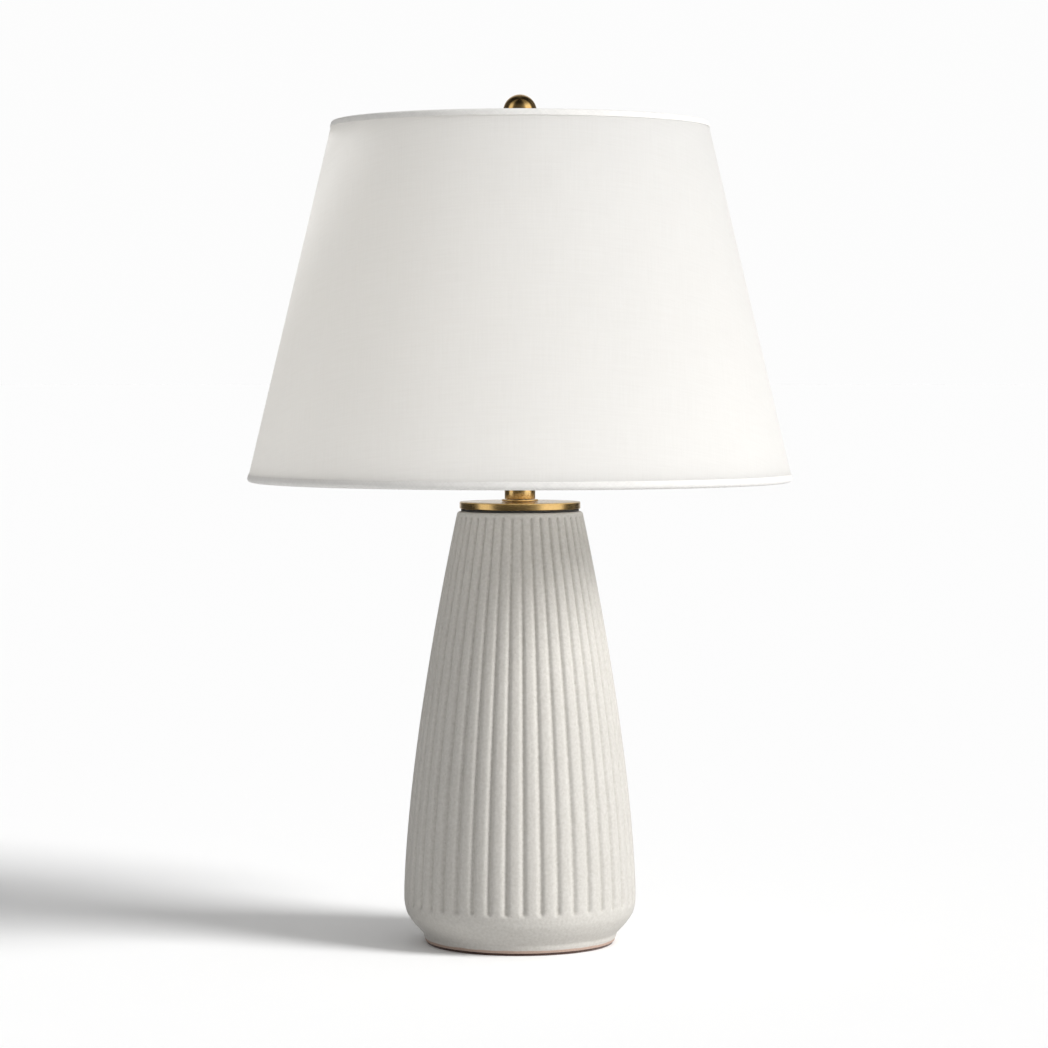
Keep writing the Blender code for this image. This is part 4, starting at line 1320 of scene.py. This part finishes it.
# shade
shade = {
    "topRadius": 5.5 * inch,
    "clothDepth": 0.6 * mm,     # cloth's outer face, in from the shade's nominal face
    "clothThick": 0.4 * mm,
    "clothStart": 2.7 * mm,     # how far in from the edges the cloth and the liner stop
    "linerDepth": 1.2 * mm,
    "linerThick": 0.6 * mm,
    "hemWidth": 5.2 * mm,
    "hemInner": 4.2 * mm,
    "hemThick": 0.5 * mm,
    "hemDepth": 6.3 * mm,
    "seamAngle": 90.0,          # degrees, at the back
    "seamLap": 14.0 * mm,
    "washerHole": 5.3 * mm,
    "rodWire": 1.2 * mm,        # a spider rod's radius
    "rodInset": 1.3 * mm,       # from the washer's rim, and from the arm's outer end
    "weldReach": 0.02,          # share of a rod that its weld takes up
    "weldNarrow": 0.1,
    "weldInner": 0.28,
    "weldOuter": 0.35,
    "turns": 240,
}
shadeLow = span("bottom_hem")[0]
shadeHigh = span("top_hem")[1]
lowRadius = span("bottom_hem")[2]
lean = (lowRadius - shade["topRadius"]) / math.hypot(lowRadius - shade["topRadius"], shadeHigh - shadeLow)
shadeLow += shade["hemDepth"] * lean            # the hem's inner corner hangs below the edge
shadeSlant = math.hypot(lowRadius - shade["topRadius"], shadeHigh - shadeLow)
slope = ((lowRadius - shade["topRadius"]) / shadeSlant, -(shadeHigh - shadeLow) / shadeSlant)
coneSine = slope[0]
apexTop = shade["topRadius"] / coneSine         # distance from the cone's point, along the cloth


def shadePoint(along, depth, fromTop):
    # along the slope from an edge, and in from the nominal outer face
    start = (shade["topRadius"], shadeHigh) if fromTop else (lowRadius, shadeLow)
    sign = 1 if fromTop else -1
    return (start[0] + sign * along * slope[0] + depth * slope[1],
            start[1] + sign * along * slope[1] - depth * slope[0])


def wrap(name, outer, inner, startAngle, endAngle, steps, liftAt, mapAt):
    # bends a band round the axis from one angle to another; outer and inner are (r, z) rows
    count = len(outer)
    verts, faces, spread, hidden = [], [], [], []
    angles = [startAngle + (endAngle - startAngle) * k / steps for k in range(steps + 1)]
    section = [Vector(p) for p in outer + inner[::-1]]
    outward = [(Vector(a) - Vector(b)).normalized() for a, b in zip(outer, inner)]
    outward += outward[::-1]
    for angle in angles:
        lift = liftAt(angle)
        for point, normal in zip(section, outward):
            ruffle = 0.02 * mm * noise.noise(Vector((3 * angle, 60 * point.y, 1.5)))
            reach, z = point + normal * (lift + ruffle)
            verts.append((reach * math.cos(angle), reach * math.sin(angle), z))
    loop = 2 * count
    for k in range(steps):
        for i in range(loop):
            m = (i + 1) % loop
            faces.append([k * loop + i, k * loop + m, (k + 1) * loop + m, (k + 1) * loop + i])
            spread += [mapAt(angles[k], i), mapAt(angles[k], m), mapAt(angles[k + 1], m),
                       mapAt(angles[k + 1], i)]
            hidden.append(count <= i < loop - 1)
    for k, flip in ((0, False), (steps, True)):
        for i in range(count - 1):
            face = [k * loop + i, k * loop + loop - 1 - i, k * loop + loop - 2 - i, k * loop + i + 1]
            faces.append(face[::-1] if flip else face)
            spread += [mapAt(angles[k], i)] * 4
            hidden.append(False)
    mesh = bpy.data.meshes.new(name)
    mesh.from_pydata(verts, [], faces)
    layer = mesh.uv_layers.new(name="weave")
    layer.data.foreach_set("uv", [value for pair in spread for value in pair])
    shape = bmesh.new()
    shape.from_mesh(mesh)
    bmesh.ops.recalc_face_normals(shape, faces=shape.faces)
    shape.to_mesh(mesh)
    shape.free()
    smoothMesh(mesh, 50)
    return mesh, hidden


def lapLift(startAngle, endAngle, lap, thick):
    # the last stretch lies over the first
    ramp = 0.45 * lap

    def lift(angle):
        over = (angle - (endAngle - 1.45 * lap)) / ramp
        t = min(max(over, 0), 1)
        return thick * (3 * t * t - 2 * t ** 3)
    return lift


def flatPattern(angle, along):
    # where a point of the cone lies on the flat cloth: warp runs down the front
    turn = (angle + math.pi / 2) * coneSine
    distance = apexTop + along
    return distance * math.sin(turn), -distance * math.cos(turn)


def makeCloth():
    look = shade
    rows = 28
    ends = look["clothStart"]
    alongs = [ends + (shadeSlant - 2 * ends) * k / (rows - 1) for k in range(rows)]
    outer = [shadePoint(a, look["clothDepth"], True) for a in alongs]
    inner = [shadePoint(a, look["clothDepth"] + look["clothThick"], True) for a in alongs]
    start = math.radians(look["seamAngle"] - 360)
    lap = look["seamLap"] / ((lowRadius + look["topRadius"]) / 2)
    end = math.radians(look["seamAngle"]) + lap

    def mapAt(angle, i):
        return flatPattern(angle, alongs[i] if i < rows else alongs[2 * rows - 1 - i])
    mesh, hidden = wrap("shade_cloth", outer, inner, start, end, look["turns"],
                        lapLift(start, end, lap, look["clothThick"] + 0.03 * mm), mapAt)
    piece = newPiece("shade_cloth", mesh, "shade", "linen", "linen", "shade_fabric")
    mesh.materials.append(finish["linenBack"])
    for face, under in zip(mesh.polygons, hidden):
        face.material_index = int(under)
    liner = [shadePoint(ends, look["linerDepth"], True)]
    liner += [shadePoint(a, look["linerDepth"], True) for a in alongs[1:]]
    liner += [shadePoint(a, look["linerDepth"] + look["linerThick"], True) for a in reversed(alongs)]
    backing = newPiece("hardback_liner", spin("hardback_liner", liner, look["turns"]), "shade", "liner",
                       "styrene", "shade_liner")
    return piece, backing, end - start


def hemPath(fromTop, offset):
    # round the edge: down the outside, round the wire and up the inside
    look = shade
    corner = 2.45 * mm
    outside = [(look["hemWidth"], 0.02 * mm), (look["hemWidth"] - 0.5 * mm, 0.0), (3.4 * mm, -0.05 * mm)]
    turnA = [(corner - corner * math.sin(a), corner - corner * math.cos(a))
             for a in [math.radians(90 * k / 6) for k in range(7)]]
    turnB = [(corner - corner * math.cos(a), look["hemDepth"] - corner + corner * math.sin(a))
             for a in [math.radians(90 * k / 6) for k in range(7)]]
    inside = [(look["hemInner"], look["hemDepth"])]
    path = [Vector(p) for p in outside + turnA + turnB + inside]
    shifted = []
    for number, point in enumerate(path):
        along = (path[min(number + 1, len(path) - 1)] - path[max(number - 1, 0)]).normalized()
        shifted.append(point + Vector((-along.y, along.x)) * -offset)
    return [shadePoint(p.x, p.y, fromTop) for p in shifted]


def makeHem(name, node, fromTop):
    look = shade
    outer = hemPath(fromTop, 0)
    inner = hemPath(fromTop, look["hemThick"])
    steps = [0.0]
    for a, b in zip(outer, outer[1:]):
        steps.append(steps[-1] + math.dist(a, b))
    lap = 9 * mm / (look["topRadius"] if fromTop else lowRadius)
    start = math.radians(look["seamAngle"] - 360) - 0.06
    end = start + 2 * math.pi + lap
    own = lapLift(start, end, lap, look["hemThick"] + 0.03 * mm)

    def liftAt(angle):
        near = abs((angle - math.radians(look["seamAngle"]) - 0.02 + math.pi) % (2 * math.pi) - math.pi)
        bump = min(max((0.22 - near) / 0.08, 0), 1)
        return own(angle) + (look["clothThick"] + 0.08 * mm) * (3 * bump ** 2 - 2 * bump ** 3)
    radius = look["topRadius"] if fromTop else lowRadius

    def mapAt(angle, i):
        v = steps[i] if i < len(outer) else steps[2 * len(outer) - 1 - i]
        return (angle * radius + v) * 0.7071, (v - angle * radius) * 0.7071      # cut on the bias
    mesh, _ = wrap(name, outer, inner, start, end, look["turns"], liftAt, mapAt)
    return newPiece(name, mesh, "shade", "hemLinen", "linen", node)


def makeRing(name, node):
    low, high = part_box(node)
    wireRadius = (high.z - low.z) / 2
    centre = (high.x - wireRadius, (low.z + high.z) / 2)
    outline = arcPoints(centre, wireRadius, 0, 360, 18)[:-1]
    newPiece(name, spin(name, outline, shade["turns"]), "shade", "zincSteel", "steel", node)


def makeSpider():
    low, high, radius = span("spider_hub")
    hole = shade["washerHole"]
    corners = [(hole, high - 0.3 * mm, 0.2 * mm), (7.5 * mm, high - 0.3 * mm, 0.6 * mm),
               (9 * mm, high, 0.8 * mm),
               (radius, high, 0.4 * mm), (radius, low, 0.4 * mm), (hole, low, 0.2 * mm)]
    newPiece("spider_washer", spin("spider_washer", softCorners(corners, 4), 96), "shade", "zincSteel",
             "steel",
             "spider_hub")
    wireRadius = shade["rodWire"]
    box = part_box("spider_arm_1")                # this arm points along Y
    near = (radius + shade["rodInset"], box[0].z + wireRadius)
    far = (box[1].y - shade["rodInset"], box[1].z - wireRadius)
    points = []
    for k in range(31):
        t = k / 30
        r = near[0] + (far[0] - near[0]) * t
        z = near[1] + (far[1] - near[1]) * t
        points.append((r, 0, z))

    def sizeAt(t):
        weldIn = math.exp(-(t / shade["weldReach"]) ** 2)
        weldOut = math.exp(-((1 - t) / shade["weldReach"]) ** 2)
        grow = 1 + shade["weldInner"] * weldIn
        return (wireRadius * (1 - shade["weldNarrow"] * weldIn),
                wireRadius * (grow + shade["weldOuter"] * weldOut))

    for number, degrees in enumerate((90, 210, 330), 1):
        turn = math.radians(degrees)
        mesh = sweep(f"spider_rod_{number}", points, (0, 1, 0), sizeAt, 16)
        mesh.transform(Matrix.Rotation(turn, 4, "Z"))
        newPiece(f"spider_rod_{number}", mesh, "shade", "zincSteel", "steel", f"spider_arm_{number}")


cloth, liner, clothTurn = makeCloth()
topHem = makeHem("upper_hem", "top_hem", True)
lowHem = makeHem("lower_hem", "bottom_hem", False)
makeRing("upper_ring", "shade_top_ring")
makeRing("lower_ring", "shade_bottom_ring")
makeSpider()


# finial
finialLook = {
    "ballBore": 3.5 * mm,
    "boreTop": 613.0 * mm,
    "threadPitch": inch / 27,
}


def makeFinial():
    look = finialLook
    low, high, radius = span("finial_washer")
    newPiece("finial_seat_ring", spin("finial_seat_ring", ring(3.5 * mm, radius, low, high, 0.2 * mm), 64),
             "finial_seat", "polishedBrass", "brass", "finial_washer")
    low, high, foot = span("finial_stem")
    bore = look["ballBore"]
    neck = 4.6 * mm
    corners = [(bore, high), (neck, high, 0.2 * mm), (neck, high - 0.9 * mm, 0.4 * mm),
               (neck - 0.5 * mm, low + 3.4 * mm, 1 * mm), (neck + 0.2 * mm, low + 2.0 * mm, 0.8 * mm),
               (foot, low + 1.2 * mm, 0.4 * mm), (foot, low, 0.3 * mm), (bore, low)]
    newPiece("finial_neck", spin("finial_neck", softCorners(corners, 5), 64), "finial", "polishedBrass",
             "brass",
             "finial_stem")
    low, high, radius = span("finial_ball")
    centre = high - radius
    neckAngle = -math.degrees(math.acos(neck / radius))
    outline = [(0.0, high)] + arcPoints((0, centre), radius, 90, neckAngle, 60)[1:]
    outline += [(bore, outline[-1][1])]
    outline += run((bore, low + 0.2 * mm), (bore, look["boreTop"]), 40) + [(0, look["boreTop"])]
    newPiece("finial_knob", spin("finial_knob", outline, 96), "finial", "polishedBrass", "brass",
             "finial_ball")


makeFinial()
print("finial done")
